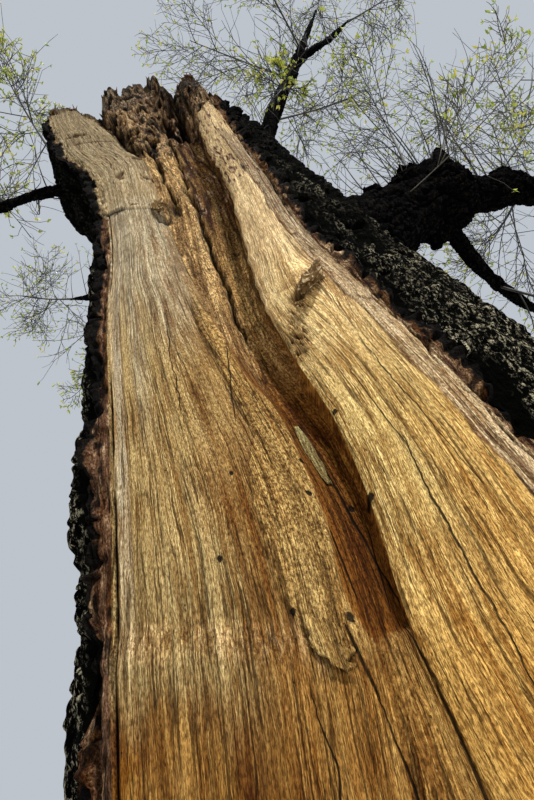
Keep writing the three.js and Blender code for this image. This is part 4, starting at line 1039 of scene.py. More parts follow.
def face_zones(across, x, z, tops, u, lip):
    """Where each kind of wood lies on the torn face, from 0 to 1."""
    wander = 0.014 * rough(u / 0.05, 0.5, z / 0.12, 44) + 0.005 * rough(u / 0.012, 0.5, z / 0.03, 45)
    past_scoop, past_ridge = x - along(SCOOP_LEFT, z), x - along(RIDGE_LEFT, z)
    left, right = along(LEFT_RIM, z), along(RIGHT_RIM, z)
    is_left, is_right = across < 2, across > 3.99
    in_channel = rise(1.93, 2.08, across) * (1 - rise(3.97, 4.0, across))
    above_foot = rise(2.1, 2.122, lip)
    slanted = z + FRAY_SLOPE * x
    zones = {
        "slanted": slanted,
        "wander": wander,
        "strip": np.maximum(1 - rise(0, 1, across), rise(5, 6, across)),
        "left": is_left * 1.0, "right": is_right * 1.0,
        "scoop": rise(-0.004, 0.004, past_scoop + 0.4 * wander) * (across < 4) * above_foot,
        "ridge": rise(-0.002, 0.003, past_ridge + 1.5 * wander) * (1 - rise(-0.008, 0.002, past_scoop))
        * rise(2.02, 2.16, z) * (1 - rise(3.3, 4.0, z)) * ~is_right,
        "upper": in_channel * rise(2.95, 3.55, z),
        "stain": rise(-0.055, 0.055, x - along(STAIN_EDGE, z) + 3 * wander) * ~is_right,
        "wavy": band(-0.33, 0.11, x + 2 * wander) * rise(2.2, 3.0, z) * (1 - rise(4.5, 4.75, z)),
        "fray": band(FRAY_LEVEL, 0.085, slanted + 1.5 * wander) * rise(-0.66, -0.6, x)
        * (1 - rise(-0.24, -0.1, x)),
        "low": 1 - rise(FRAY_LEVEL - 0.25, FRAY_LEVEL - 0.06, slanted + 3 * wander),
        "left_sap": rise(1, 1.02, across) * (1 - rise(-0.004, 0.004, x - left - LEFT_BARK - LEFT_SAP))
        * is_left * (1 - rise(4.62, 4.7, z)) * rise(2.05, 2.7, z),
        "right_sap": rise(-0.004, 0.004, x - right + RIGHT_BARK + RIGHT_SAP + wander) * is_right
        * rise(1.9, 2.3, z) * (1 - rise(4.9, 5.6, z)),
    }
    rot_line = along(ROT_LINE, x) + 6 * wander
    lobe_edge = 0.5 * rough(0.5, 0.5, z / 0.07, 50) + 15 * wander
    rot = rise(0, 0.1, z - rot_line) * rise(1.86, 1.95, across + 0.1 * lobe_edge)
    rot = rot * (1 - rise(4.9, 5.0, across))
    ragged_top = rise(0.1, 0.01, tops - z + 3 * wander)
    zones["rot"] = np.clip(np.maximum(rot, ragged_top * rise(5.4, 6.0, z)), 0, 1)
    zones["cavity"] = 1 - rise(0.55, 1.05, around(CAVITY, x, z, 0.3))
    jag = 0.013 * rough(0.5, 0.5, z / 0.055, 47)
    open_width = 0.02 + 0.013 * rough(0.5, 0.5, z / 0.13, 48)
    crevice = band(0, open_width, x - along(CREVICE, z) + wander + jag)
    crevice = crevice * rise(3.3, 3.6, z) * (1 - rise(5.8, 6.0, z))
    side_crevice = band(0, open_width + 0.004, x - along(SIDE_CREVICE, z) + wander - jag)
    side_crevice = side_crevice * rise(4.45, 4.7, z) * (1 - rise(5.6, 5.7, z))
    seam = band(0.012, 0.046, x - along(CHANNEL_LEFT, z) + 1.2 * wander) * rise(5.4, 5.62, z)
    zones["crevice"] = np.maximum(np.maximum(crevice, side_crevice), seam)
    # Painted shadow along the channel's right wall, beside the right lobe, broken in places
    broken = rise(-0.3, 0.2, rough(0.5, 0.5, z / 0.22, 46))
    zones["wall"] = band(3.95, 0.05, across) * rise(3.3, 3.8, z) * mix(0.35, 1, broken)
    # Painted shadow along the left step of the raised ridge
    ridge_edge = band(-0.004, 0.007, past_ridge + 1.5 * wander) * rise(2.1, 2.3, z)
    ridge_edge = ridge_edge * (1 - rise(2.9, 3.3, z)) * (1 - rise(-0.012, -0.004, past_scoop))
    zones["ridge_edge"] = ridge_edge * rise(-0.3, 0.3, rough(0.5, 0.5, z / 0.1, 49))
    zones["scar"] = sum(1 - rise(0.5, 1.0, around(scar, x, z, 0.9)) for scar in SCARS) * is_left
    trail = band(0, 0.06, x - along(TEAR_TRAIL, z) + 2 * wander) * is_right
    zones["trail"] = trail * rise(3.06, 3.14, z) * (1 - rise(3.38, 3.44, z))
    zones["left_knot"] = 1 - rise(0.75, 1.0, around(LEFT_KNOT, x, z, 0.35))
    knot_side = rise(-1.2, 0.5, (x - LEFT_KNOT[0]) / 0.03 - (z - LEFT_KNOT[1]) / 0.12)
    zones["knot_gap"] = band(1.3, 0.55, around(LEFT_KNOT, x, z, 0.35)) * knot_side
    zones["right_knot"] = 1 - rise(0.55, 1.0, around(RIGHT_KNOT, x, z - 0.45 * (x - RIGHT_KNOT[0]), 0.35))
    zones["pocket"] = 1 - rise(0.35, 1.0, around(KNOT_POCKET, x, z - 0.3 * (x - KNOT_POCKET[0]), 0.3))
    zones["ledge"] = z - along(LEDGE, x) + 0.3 * wander
    zones["hairline"] = band(0, 0.016, z - along(HAIRLINE, x)) * is_left * (x > -0.73) * (x < -0.42)
    clusters = rise(-0.1, 0.3, rough(x / 0.15, 0.5, z / 0.4, 66))
    dashes = rise(0.42, 0.54, rough(u / 0.011, 0.5, z / 0.065, 63)) * mix(0.15, 1, clusters)
    zones["dashes"] = dashes * rise(3.9, 4.6, z) * (1 - 0.85 * is_right)
    opened = rise(-0.35, 0.15, rough(0.5, 0.5, z / 0.2, 67))
    shake = 0.01 * rough(0.5, 0.5, z / 0.06, 55)
    left_gap = band(1.0, 0.02, across + shake) * is_left * (1 - rise(4.66, 4.72, z))
    right_gap = band(-0.004, 0.012, x - right + RIGHT_BARK + 1.6 * wander) * is_right
    zones["gaps"] = np.maximum(left_gap, right_gap) * opened
    left_edge = band(left + LEFT_BARK + LEFT_SAP, 0.006, x) * is_left * (1 - rise(4.6, 4.7, z))
    right_edge = band(right - RIGHT_BARK - RIGHT_SAP - wander, 0.007, x) * is_right
    zones["sap_edges"] = np.maximum(left_edge, right_edge)
    return zones


def combed(u, z):
    """Ribs of the frayed band, from -1 to 1: short fibres that waver together."""
    return rough((u + 0.005 * np.sin(38 * z) + 0.004 * np.sin(91 * z)) / 0.011, 0.5, z / 0.08, 54)


def torn_flakes(x, z):
    """Where small flakes of wood have been torn out, from -1 to 1."""
    return rough(x / 0.012 + z / 0.03, 0.5, z / 0.034, 58) + 0.5 * rough(x / 0.005, 0.5, z / 0.016, 99)


def channel_ribs(u, z):
    return rough(u / 0.017, 0.5, z / 0.24, 97)


def knot_fibres(x, z):
    return rough((x + z) / 0.015, 0.5, (z - x) / 0.034, 56)


def knot_chips(x, z):
    return rough(x / 0.014, 0.5, z / 0.02, 94)


def face_proud(across, x, z, u, at):
    """How far the torn face stands out of its smooth shape, and its ribs from -1 to 1."""
    ribs = 0.75 * rough(u / 0.021, 0.5, z / 0.62, 52) + 0.45 * rough(u / 0.0105, 0.5, z / 0.28, 53)
    swells = rough(u / 0.028, 0.5, z / 0.7, 61) + 0.5 * rough(u / 0.013, 0.5, z / 0.4, 62)
    rib_depth = 0.0016 + 0.0012 * at["right"] + 0.003 * at["stain"]
    rib_depth = rib_depth + 0.004 * at["wavy"] + 0.0018 * at["low"]
    proud = 0.006 * rough(u / 0.13, 0.5, z / 1.1, 51)
    proud += mix(rib_depth, 0.003, at["scoop"]) * ribs + 0.012 * at["upper"] * swells
    proud += 0.009 * at["upper"] * channel_ribs(u, z)
    proud += at["wavy"] * 0.005 * rough((u + 0.01 * np.sin(z * 9)) / 0.03, 0.5, z / 0.24, 64)
    proud += at["fray"] * 0.0065 * combed(u, z)
    below = 1 - rise(FRAY_LEVEL - 0.07, FRAY_LEVEL + 0.07, at["slanted"] + 0.8 * at["wander"])
    proud += 0.028 * below * at["left"] * (1 - rise(-0.26, -0.14, x))
    folds = rough((x + 0.1 * z) / 0.024, 0.5, z / 0.22, 95)
    proud += at["ridge"] * (0.012 + 0.0016 * rough(x / 0.012, 0.5, z / 0.02, 65) + 0.006 * folds)
    beside_ridge = rise(-0.002, 0.004, x - along(RIDGE_LEFT, z) + 0.05) * (x < along(SCOOP_LEFT, z))
    proud += 0.005 * beside_ridge * rise(2.36, 2.46, z) * (1 - rise(2.8, 3.0, z))
    over_ledge = rise(-0.005, 0.006, at["ledge"]) * (1 - 0.8 * rise(0.15, 0.8, at["ledge"]))
    ledge_fade = (1 - 0.6 * rise(-0.46, -0.42, x)) * (1 - rise(-0.3, -0.2, x))
    proud += LEDGE_STEP * over_ledge * at["left"] * ledge_fade
    proud += (0.012 + 0.01 * knot_chips(x, z)) * at["left_knot"] - 0.02 * at["knot_gap"]
    bulge = np.exp(-around(RIGHT_KNOT, x, z) ** 2 / 5)
    fibres = 1 + 1.8 * knot_fibres(x, z)
    proud += 0.018 * bulge * at["right"] + 0.006 * at["right_knot"] * fibres - 0.04 * at["pocket"]
    proud -= 0.045 * at["crevice"] + 0.008 * at["dashes"] + 0.005 * at["hairline"] + 0.014 * at["scar"]
    proud -= 0.014 * at["trail"] * rise(0.05, 0.35, torn_flakes(x, z))
    proud -= 0.028 * at["gaps"] * (0.7 + 0.3 * rough(0.5, 0.5, z / 0.3, 57)) + 0.0035 * at["sap_edges"]
    crumble, pits = crumbled(x, 0.4 * z, z)
    # The wood between the channel and the right lobe stands forward again at the broken top
    filled = 0.13 * rise(5.8, 6.25, z) * rise(3.15, 3.5, across) * (1 - rise(3.92, 4.0, across))
    proud += at["rot"] * crumble + filled - 0.1 * at["cavity"]
    return proud, ribs, swells, pits


def face_surface(across):
    """Corners, colours and grain places of the torn face for the given columns."""
    level = np.full_like(across, TOP_LINE)
    x_top = face_x(across, level)
    left_top, right_top = along(LEFT_RIM, TOP_LINE), along(RIGHT_RIM, TOP_LINE)
    share_top = (x_top - left_top) / (right_top - left_top)
    tops = along(TOP_OF_FACE, share_top) + torn_edge(x_top, along(RIM_DEPTH, level))
    for place, half_width, depth in NOTCHES:
        tops = tops - depth * band(place, half_width, share_top)
    z = rows_under(tops)
    x = face_x(across, z)
    x = x + LOBE_EDGE_WANDER * rough(0.5, 0.5, z / 0.05, 98) * band(4, 0.6, across) * rise(3.2, 3.8, z)
    left, right = along(LEFT_RIM, z), along(RIGHT_RIM, z)
    share = (x - left) / (right - left)

    # The scoop ends in a ragged lip, so its depth is read a little higher or lower
    lip = z + 0.02 * rough(x / 0.016, 0.5, z / 0.2, 41) - 0.22 * x
    relief = face_relief(across, z, along(CHANNEL_DEPTH, lip) * mix(0.62, 1.0, rise(2.6, 3.4, z)))
    rim_depth, middle = along(RIM_DEPTH, z), trunk_middle(z)
    front = rim_depth - along(FRONT_ARCH, z) * np.sqrt(np.maximum(1 - (2 * share - 1) ** 2, 0))
    edge = stub_edge(share) + 0.05 * rough(x / 0.025, 0.5, 0.5, 42) * np.sin(np.pi * share)
    torn = rise(edge, edge + STUB_RAMP, z)
    y = front + torn * (rim_depth + relief - front)
    lobes = flare(np.arctan2(y, x - middle), z) - 1
    factor = 1 + lobes * (1 - torn) * np.sin(np.pi * share)
    x, y = middle + (x - middle) * factor, y * factor

    u = grain_places(across, x, y, z)
    at = face_zones(across, x, z, tops, u, lip)
    proud, ribs, swells, pits = face_proud(across, x, z, u, at)

    # The strips of torn bark at both rims carry on the bark's own relief
    bark_height, ridge = bark_relief(x, y, z)
    carry = rise(0.1, 0.95, at["strip"])
    plates = 0.7 * rough(u / 0.03, 0.5, z / 0.085, 60) + 0.5 * rough(u / 0.06, 0.5, z / 0.26, 69)
    fibres = 0.007 * rough(u / 0.01, 0.5, z / 0.1, 59) + 0.014 * plates
    chips = 0.01 * rough(x / 0.016, y / 0.016, z / 0.022, 96)
    proud = proud * (1 - carry * torn) + rise(0, 0.15, at["strip"]) * ((1 - carry) * 2 * fibres + chips)
    corners = np.stack([x, y, z], -1)
    corners[..., 1] -= proud
    corners += bark_outward(x, y, z) * (bark_height * np.maximum(carry, 1 - torn))[..., None]
    corners[..., 2] = np.maximum(corners[..., 2], 0)

    brink = rise(0.16, 0.02, tops - z + 3 * at["wander"])
    at.update(ribs=ribs, swells=swells, pits=pits, torn=torn, bark=ridge, plates=plates, brink=brink)
    return corners, face_tone(across, x, z, u, at), np.stack([u, z], -1)


def scoop_tone(x, z, streaks):
    """The scoop's brown wood, darker low down on its right side."""
    dark_side = rise(-0.056, -0.04, x) * (1 - rise(2.38, 2.62, z + 0.08 * streaks))
    share = np.clip(mix(0.1, 0.8, dark_side) + 0.25 * streaks, 0, 1)
    return tint(np.broadcast_to(SCOOP_BROWN, (*z.shape, 3)), SCOOP_DARK, share)


def channel_tone(x, z, u, at):
    """The channel above the scoop: ribs with black lines, and past its crevice browner wood under painted
    shade.
    """
    crumbs = rough(u / 0.016, 0.5, z / 0.035, 85)
    lines = band(0, 0.075, rough(u / 0.03, 0.5, z / 0.5, 88) + 0.08 * crumbs)
    past_crevice = rise(-0.01, 0.03, x - along(CREVICE, z))
    # Painted shade past the crevice, where the right lobe's wall shades the channel, stronger higher up
    shaded = past_crevice * mix(0.12, 1.0, rise(4.05, 4.65, z))
    ribs = channel_ribs(u, z)
    # Rib valleys darker and rib crests paler with the relief: partly the ribs' own colour, partly painted
    # shade and highlight
    return laid(np.broadcast_to(RIB_TAN, (*z.shape, 3)), [
        (RIB_BROWN, 0.55 * rise(-0.1, -0.5, at["ribs"] + 0.5 * crumbs)),
        (AMBER, 0.5 * past_crevice),
        (BROWN * 0.7, shaded * mix(0.64, 0.96, rise(-0.1, 0.3, at["swells"]))),
        (UMBER * 0.5, 0.85 * shaded * rise(0.0, -0.3, ribs)),
        (TAN * 0.8, 0.55 * shaded * rise(0.15, 0.45, ribs)),
        (PITCH, lines * mix(0.6, 0.95, shaded)),
    ])


def rotten_tone(x, z, patches, at):
    """The crumbled wood of the broken top: greyer upwards, with brown and black pits."""
    greyed = rise(-0.3, 0.4, 0.7 * rough(x / 0.13, 0.5, z / 0.3, 74) + 1.5 * (z - 6.45))
    heart = rise(-0.12, 0.02, x) * rise(6.0, 6.3, z + 0.3 * patches)
    return laid(np.broadcast_to(OCHRE, (*z.shape, 3)), [
        (GREY_BROWN, greyed),
        (BROWN * 0.8, 0.5 * rise(0.08, 0.2, rough(x / 0.024, 0.5, z / 0.05, 80))),
        (CHARRED, 0.9 * rise(0.24, 0.36, rough(x / 0.055, 0.5, z / 0.1, 75))),
        (CHARRED, 0.9 * rise(0.26, 0.36, rough(x / 0.02, 0.5, z / 0.034, 84))),
        (PITCH, np.maximum(at["pits"], np.maximum(0.75 * heart, 0.7 * at["brink"]))),
    ])


def face_tone(across, x, z, u, at):
    """Colour of each corner of the torn face before its grain, and last how pitted it is."""
    patches = rough(x / 0.16, 0.5, z / 0.6, 71)
    streaks = rough(u / 0.014, 0.5, z / 0.8, 72)
    right, left = at["right"], at["left"]
    tone = laid(np.broadcast_to(TAN, (*z.shape, 3)), [
        (GREY_TAN * 1.06, (1 - right) * rise(3.1, 4.1, z + 0.4 * patches)),
        (GREY_TAN, left * 0.8 * band(-0.47, 0.05, x) * rise(2.7, 3.3, z)),
        (ASH, left * rise(4.6, 4.75, z) * 0.75),
    ])
    tone = darkened(tone, left * (0.26 * rise(4.9, 5.8, z) + 0.2 * (1 - rise(2.24, 2.55, z))))
    low = (1 - right) * at["low"] * mix(1.0, 0.22, rise(-0.28, -0.12, x))
    blots = rough(x / 0.07, 0.5, z / 0.12, 89)
    worn = 1 - 0.42 * rise(2.5, 2.8, z)
    combing = combed(u, z)
    sap_streaks = rough(x / 0.01, 0.5, z / 0.3, 73)
    tone = laid(tone, [
        (HONEY, right),
        (CREAM, right * rise(2.7, 3.9, z + 0.3 * patches)),
        (TAN, right * 0.15 * rise(4.2, 4.9, z)),
        (AMBER, right * 0.7 * rise(-0.2, 0.5, patches) * (1 - rise(2.3, 3.2, z))),
        (AMBER, right * (1 - rise(1.9, 2.5, z))),
        (LOW_BROWN, low * mix(0.8, 1.0, rise(-0.3, 0.4, patches))),
        (GREY_BROWN, 0.45 * (1 - rise(0.9, 1.5, z))),
        (UMBER, low * 0.3 * rise(0.1, 0.4, streaks)),
        (UMBER, low * 0.75 * rise(0.02, 0.3, blots)),
        (AMBER, low * 0.3 * rise(-0.15, -0.35, blots)),
        (STAIN, at["stain"] * mix(0.9, 0.5, rise(0.0, 0.6, patches)) * worn),
        (BROWN, at["stain"] * 0.6 * rise(0.1, 0.45, streaks) * mix(1, worn, 0.5)),
        (AMBER, at["stain"] * 0.38 * rise(2.14, 1.96, z) * rise(-0.28, -0.2, x)),
        (BROWN, at["wavy"] * 0.55 * rise(0.0, 0.5, rough(u / 0.03, 0.5, z / 0.22, 79))),
        (OLIVE_TAN, at["ridge"] * 0.75),
        # painted shadow at the ridge's left step
        (UMBER, 0.75 * at["ridge_edge"]),
        (STRAW, at["fray"] * 0.6 * rise(-0.2, 0.15, combing)),
        (BROWN * 0.8, at["fray"] * 0.5 * rise(-0.14, -0.3, combing)),
        (scoop_tone(x, z, streaks), at["scoop"]),
        (channel_tone(x, z, u, at), at["upper"]),
        (SAPWOOD, at["left_sap"] * (0.8 + 0.2 * sap_streaks)),
        (PINK_GREY, at["right_sap"] * (0.85 + 0.15 * sap_streaks)),
    ])
    tone = darkened(tone, 0.34 * at["right_sap"] * rise(3.5, 4.3, z))
    pale_line = band(0.01, 0.009, x - along(LEFT_RIM, z) - LEFT_BARK)
    pale_line = pale_line * rise(2.0, 2.4, z) * (1 - rise(4.5, 4.66, z))
    tone = laid(tone, [
        (BROWN, at["right_sap"] * 0.7 * rise(0.3, 0.5, rough(u / 0.01, 0.5, z / 0.25, 76))),
        (UMBER, at["right_sap"] * 0.8 * band(0, 0.1, rough(u / 0.022, 0.5, z / 0.2, 90))),
        (UMBER, at["sap_edges"] * 0.6),
        (CREAM, 0.8 * left * pale_line),
    ])
    # Painted shade in the valleys between the ribs, following the relief, but not on the bark strips
    tone = darkened(tone, 0.22 * rise(0.1, -0.55, at["ribs"]) * (1 - at["strip"]))
    # Painted black: the cavity, the crevices and the gap round the left knot; at the pocket and along the
    # channel's right wall it is painted shadow
    dark = at["cavity"] + at["crevice"] * 0.95 + at["knot_gap"] * 0.9 + 0.8 * at["pocket"] + at["wall"] * 0.8
    dark = np.clip(dark, 0, 1)
    knot = at["right_knot"] * (1 - dark)
    scars = np.maximum(at["dashes"] * 0.75, np.maximum(at["hairline"], at["scar"]) * 0.85)
    tone = laid(tone, [
        (rotten_tone(x, z, patches, at), at["rot"]),
        (BROWN, at["trail"] * 0.4),
        (UMBER * 0.5, at["trail"] * rise(0.05, 0.3, torn_flakes(x, z))),
        (PITCH, dark),
        (BROWN, 0.8 * knot),
        (UMBER * 0.4, knot * rise(0.1, -0.1, knot_fibres(x, z))),
        (BROWN, 0.55 * band(1.3, 0.8, around(RIGHT_KNOT, x, z, 0.8)) * right * (1 - dark)),
        (UMBER * 0.6, scars),
        # Painted shadow under the lifted plate's edge at the ledge
        (PITCH, band(-0.014, 0.022, at["ledge"]) * left * mix(0.45, 1, rise(-0.42, -0.46, x))),
        (CREAM, band(0.018, 0.018, at["ledge"]) * left * 0.45),
        (UMBER * 0.7, at["left_knot"] * rise(0.15, -0.15, knot_chips(x, z)) * 0.9),
    ])
    tone = strip_tone(tone, across, x, z, u, at)
    # The stub of the fallen half below is bark again, above it splintered wood
    splintered = tint(np.broadcast_to(TAN, tone.shape), UMBER, rise(0.0, 0.5, streaks))
    tone = laid(tone, [
        (splintered, (1 - rise(0.75, 1.0, at["torn"])) * 0.7),
        (CHARRED * mix(0.3, 1.6, at["bark"])[..., None], 1 - rise(0.0, 0.06, at["torn"])),
    ])
    pitted = sum(share * at[zone] for zone, share in PITTED_SHARES.items())
    pitted = np.clip(pitted + 0.3 * at["stain"] * rise(2.2, 2.5, z) + LEAST_PITTED, 0, 1)
    return np.concatenate([np.clip(tone, 0, 1), pitted[..., None]], -1)


def strip_tone(tone, across, x, z, u, at):
    """The torn bark along both rims: brown fibres in plates, then near black."""
    is_right = across > 3
    start = np.where(is_right, 0.02, mix(0.005, 0.62, rise(4.62, 4.72, z)))
    uneven = 0.42 * at["plates"] + 0.22 * rough(x / 0.012, 0.5, z / 0.04, 77)
    share = rise(0.05, 0.5, rough(u / 0.008, 0.5, z / 0.06, 78) + 0.5 * at["plates"] + 0.15 * is_right)
    fibres = laid(np.broadcast_to(BAST, tone.shape), [
        (FRAYED, share * mix(0.6, 1, is_right)),
        (BROWN * 0.6, 0.7 * rise(0.05, 0.3, rough(u / 0.011, 0.5, z / 0.3, 86))),
        (PITCH, 0.9 * rise(0.2, 0.32, rough(u / 0.012, 0.5, z / 0.04, 68))),
        (PITCH, 0.7 * rise(0.55, 0.25, at["bark"]) * rise(0.1, 0.4, at["strip"])),
    ])
    black_from = np.where(is_right, 0.62, mix(0.86, 0.46, rise(2.3, 3.3, z)))
    return laid(tone, [
        (fibres, rise(start, start + 0.03, at["strip"] + 0.3 * uneven * (z > 4.6))),
        (CHARRED * mix(0.3, 1.4, at["bark"])[..., None],
         rise(black_from, black_from + 0.08, at["strip"] + uneven)),
        (PITCH * 0.5, at["gaps"]),
    ])


def column_run(start, end, count):
    return start + (end - start) * np.arange(count + 1) / count


def make_trunk(materials):
    """All pieces of the trunk, and the corners of its face for what lies on it."""
    face_runs = [column_run(i, i + 1, count) for i, count in enumerate(FACE_COLUMNS)]
    face_runs[3] = 4 - (4 - face_runs[3]) ** CROWDING
    across = np.concatenate([face_runs[0]] + [run[1:] for run in face_runs[1:]])
    corners, tone, grain = face_surface(across)
    borders = np.concatenate([[0], np.cumsum(FACE_COLUMNS)])
    foot = int(np.searchsorted(corners[:, 0, 2], FOOT_TOP))
    for name, (first, last, material) in FACE_PIECES.items():
        part = np.s_[foot:, borders[first]:borders[last] + 1]
        piece = grid_piece(name, corners[part], grain[part], tone[part])
        dress(piece, [materials[material]], ["trunk"])
    part = np.s_[:foot + 1]
    piece = grid_piece("fallen_half_stub", corners[part], grain[part], tone[part])
    dress(piece, [materials["frayed"]], ["trunk"])

    rings = [corners[:, :-1]]
    for name, run in BARK_RUNS.items():
        bark, ridge = bark_surface(column_run(*run))
        grey = np.repeat(ridge[..., None], 3, -1)
        piece = grid_piece(name, bark, None, grey)
        dress(piece, [materials["bark"]], ["trunk"])
        rings.append(bark[:, :-1])
    ring = np.concatenate(rings, 1)
    ring = np.concatenate([ring, ring[:, :1]], 1)
    make_hollow_top(ring[-1], materials)
    floor_ring = ring[0] * np.array([1, 1, 0])
    cut = np.stack([floor_ring * share for share in (0, 0.5, 1)])
    colour = np.broadcast_to(UMBER, cut.shape)
    piece = grid_piece("ground_cut", cut, cut[..., :2], colour, is_closed=True)
    dress(piece, [materials["rot"]], ["trunk"])
    return corners


def make_hollow_top(rim, materials):
    """The hollow inside the broken top, from its torn rim down to its floor."""
    shares = (np.arange(HOLLOW_ROWS + 1) / HOLLOW_ROWS)[:, None]
    centre = np.array([trunk_middle(HOLLOW_TOP[0]), HOLLOW_DEPTH])
    flat = mix(rim[None, :, :2], centre, shares[..., None])
    first = HOLLOW_TOP[0] + RIM_CARRY * (rim[:, 2] - HOLLOW_TOP[0])
    levels = np.stack([rim[:, 2], first] + [np.full_like(first, level) for level in HOLLOW_TOP[1:]])
    stops = np.array([0, 0.22, 0.6, 1])
    at = np.clip(np.searchsorted(stops, shares[:, 0], side="right") - 1, 0, 2)
    within = ((shares[:, 0] - stops[at]) / (stops[at + 1] - stops[at]))[:, None]
    z = mix(levels[at], levels[at + 1], within)
    crumble, pits = crumbled(flat[..., 0], flat[..., 1], z)
    inside = np.sin(np.pi * np.clip(shares * 1.6, 0, 1)) ** 0.5 * (shares < 0.62)
    z = z + crumble * inside * 1.4
    # Dark grey-brown with painted shade deepening towards the hollow's floor, and black pits
    tone = tint(np.broadcast_to(GREY_BROWN * 0.45, (*z.shape, 3)), PITCH, np.maximum(pits, shares * 0.8))
    piece = grid_piece("hollow_top", np.concatenate([flat, z[..., None]], -1), flat, tone, is_closed=True)
    dress(piece, [materials["rot"]], ["trunk"])


# Pieces that lie on the torn face


def resting_y(corners, x, z):
    """Depth of the torn face at places."""
    heights = corners[:, corners.shape[1] // 2, 2]
    row = np.clip(np.searchsorted(heights, z), 0, len(heights) - 1)
    column = np.abs(corners[row, :, 0] - x[..., None]).argmin(-1)
    return corners[row, column, 1]


def make_shard(name, corners, foot, head, width, thickness, lift, raggedness, material, tone):
    """A thin uneven plate of wood that lies along the grain; lift raises its foot and its head."""
    rows, columns = 26, 10
    t = np.arange(rows + 1)[:, None] / rows
    s = np.concatenate([np.arange(columns + 1), np.arange(columns - 1, -1, -1)])[None] / columns - 0.5
    is_back = np.arange(2 * columns + 1)[None] > columns
    outline = width * np.sin(np.pi * np.clip(0.1 + 0.84 * t, 0, 1)) ** 0.5
    ragged = 1 + raggedness * rough(t * 7, 0.5, np.sign(s) * 3, 81)
    x = mix(foot[0], head[0], t) + s * outline * ragged
    z = mix(foot[1], head[1], t) + 0.3 * raggedness * width * rough(s * 5, 0.5, t * 3, 82)
    y = resting_y(corners, x, z) - mix(lift[0], lift[1], t) - 0.003 + 0.002 * rough(s * 6, 0.5, t * 8, 83)
    smooth = np.cumsum(y, 0)
    y[4:-4] = (smooth[8:] - smooth[:-8]) / 8
    y = y + is_back * thickness * (1 - (2 * s) ** 6) * np.sin(np.pi * t) ** 0.3
    plate = np.stack([x, y, z], -1)
    painted = np.concatenate([np.broadcast_to(tone, plate.shape), np.full((*y.shape, 1), 0.15)], -1)
    piece = grid_piece(name, plate, np.stack([x, z], -1), painted, is_closed=True)
    bm = bmesh.new()
    bm.from_mesh(piece.data)
    bmesh.ops.recalc_face_normals(bm, faces=bm.faces)
    bm.to_mesh(piece.data)
    bm.free()
    dress(piece, [material], ["trunk"])


# Spikes of torn wood: their number on the stub and on the broken top, and the radius of their tips
STUB_SPIKES, TOP_SPIKES, SPIKE_TIP = 120, 150, 0.001


def wood_spikes(feet, reach, thick, dip):
    """Spikes from their feet along their reach, drawn forward by the dip halfway."""
    return Twigs(feet, feet + 0.5 * reach - (0, dip, 0), feet + reach, thick,
                 np.full(len(feet), SPIKE_TIP), np.zeros_like(feet))


def make_splinters(corners, material):
    """Spikes of torn wood along the stub's edge and on the broken top."""
    rng = np.random.default_rng(77)
    heights = corners[:, corners.shape[1] // 2, 2]
    columns = rng.integers(24, corners.shape[1] - 24, STUB_SPIKES)
    share = np.clip((corners[0, columns, 0] + 0.8) / 1.66, 0, 1)
    rows = np.searchsorted(heights, stub_edge(share) + rng.uniform(0.0, 0.22, STUB_SPIKES))
    feet = corners[rows, columns] - np.array([0, 0, 0.05])
    thick = rng.uniform(0.006, 0.016, STUB_SPIKES)
    reach = np.stack([rng.normal(0, 0.012, STUB_SPIKES), rng.uniform(-0.01, 0.05, STUB_SPIKES),
                      rng.uniform(0.1, 0.26, STUB_SPIKES)], -1)
    low = wood_spikes(feet, reach, thick, 0.008)
    columns = rng.integers(16, corners.shape[1] - 12, TOP_SPIKES)
    feet = corners[-1, columns] + np.array([0, 0.01, -0.03])
    thick = rng.uniform(0.004, 0.01, TOP_SPIKES)
    reach = np.stack([rng.normal(0, 0.012, TOP_SPIKES), rng.normal(0, 0.012, TOP_SPIKES),
                      rng.uniform(0.04, 0.1, TOP_SPIKES)], -1)
    high = wood_spikes(feet, reach, thick, 0)
    for name, spikes, colour in (("stub_splinters", low, AMBER), ("top_splinters", high, BROWN * 0.5)):
        points, faces = tubes(spikes, 4, 3)
        piece = joined_piece(name, points, faces, is_smooth=False)
        paint(piece.data, np.tile((*colour, 0), (len(points), 1)))
        lay_grain(piece.data, points[:, [0, 2]])
        dress(piece, [material], ["trunk"])


# Limbs

# How finely each limb is made: spacing of its corners, and the size of its bark furrows
LIMB_FINENESS = {
    "bough_root": (0.0125, 0.62), "bough_arm": (0.0105, 0.48), "slim_upper_limb": (0.016, 0.34),
    "back_limb": (0.016, 0.42), "rear_limb": (0.016, 0.38), "broken_stub": (0.011, 0.42),
}
USUAL_FINENESS = (0.012, 0.24)
# Knobs on the bough and its arm: place and radius, and the seeds of all lumps
KNOB_SEED, KNOT_SEED = 100, 130
KNOBS = [
    (1.02, 0.11, 5.01, 0.085), (1.29, 0.13, 5.21, 0.07), (1.5, 0.25, 5.52, 0.085),
    (1.64, 0.2, 5.41, 0.075), (1.43, 0.42, 5.02, 0.08), (2.29, 0.54, 5.72, 0.065),
    (0.82, 0.01, 4.52, 0.08), (1.7, 0.5, 5.23, 0.07), (2.76, 0.7, 5.44, 0.04),
]
# Stubs in the torn face: name, sideways place, height, half sizes and lean
FACE_KNOTS = [("right_knot", 0.216, 3.428, (0.056, 0.03, 0.026), math.radians(42)),
              ("left_knot", -0.272, 4.6, (0.021, 0.02, 0.055), math.radians(-12))]
# Share of its length over which a limb draws in to a twig's thickness, and how far
LIMB_TAPER, LIMB_TIP = 0.4, 0.36
BLUNT_LIMBS = ("bough_root", "broken_stub")


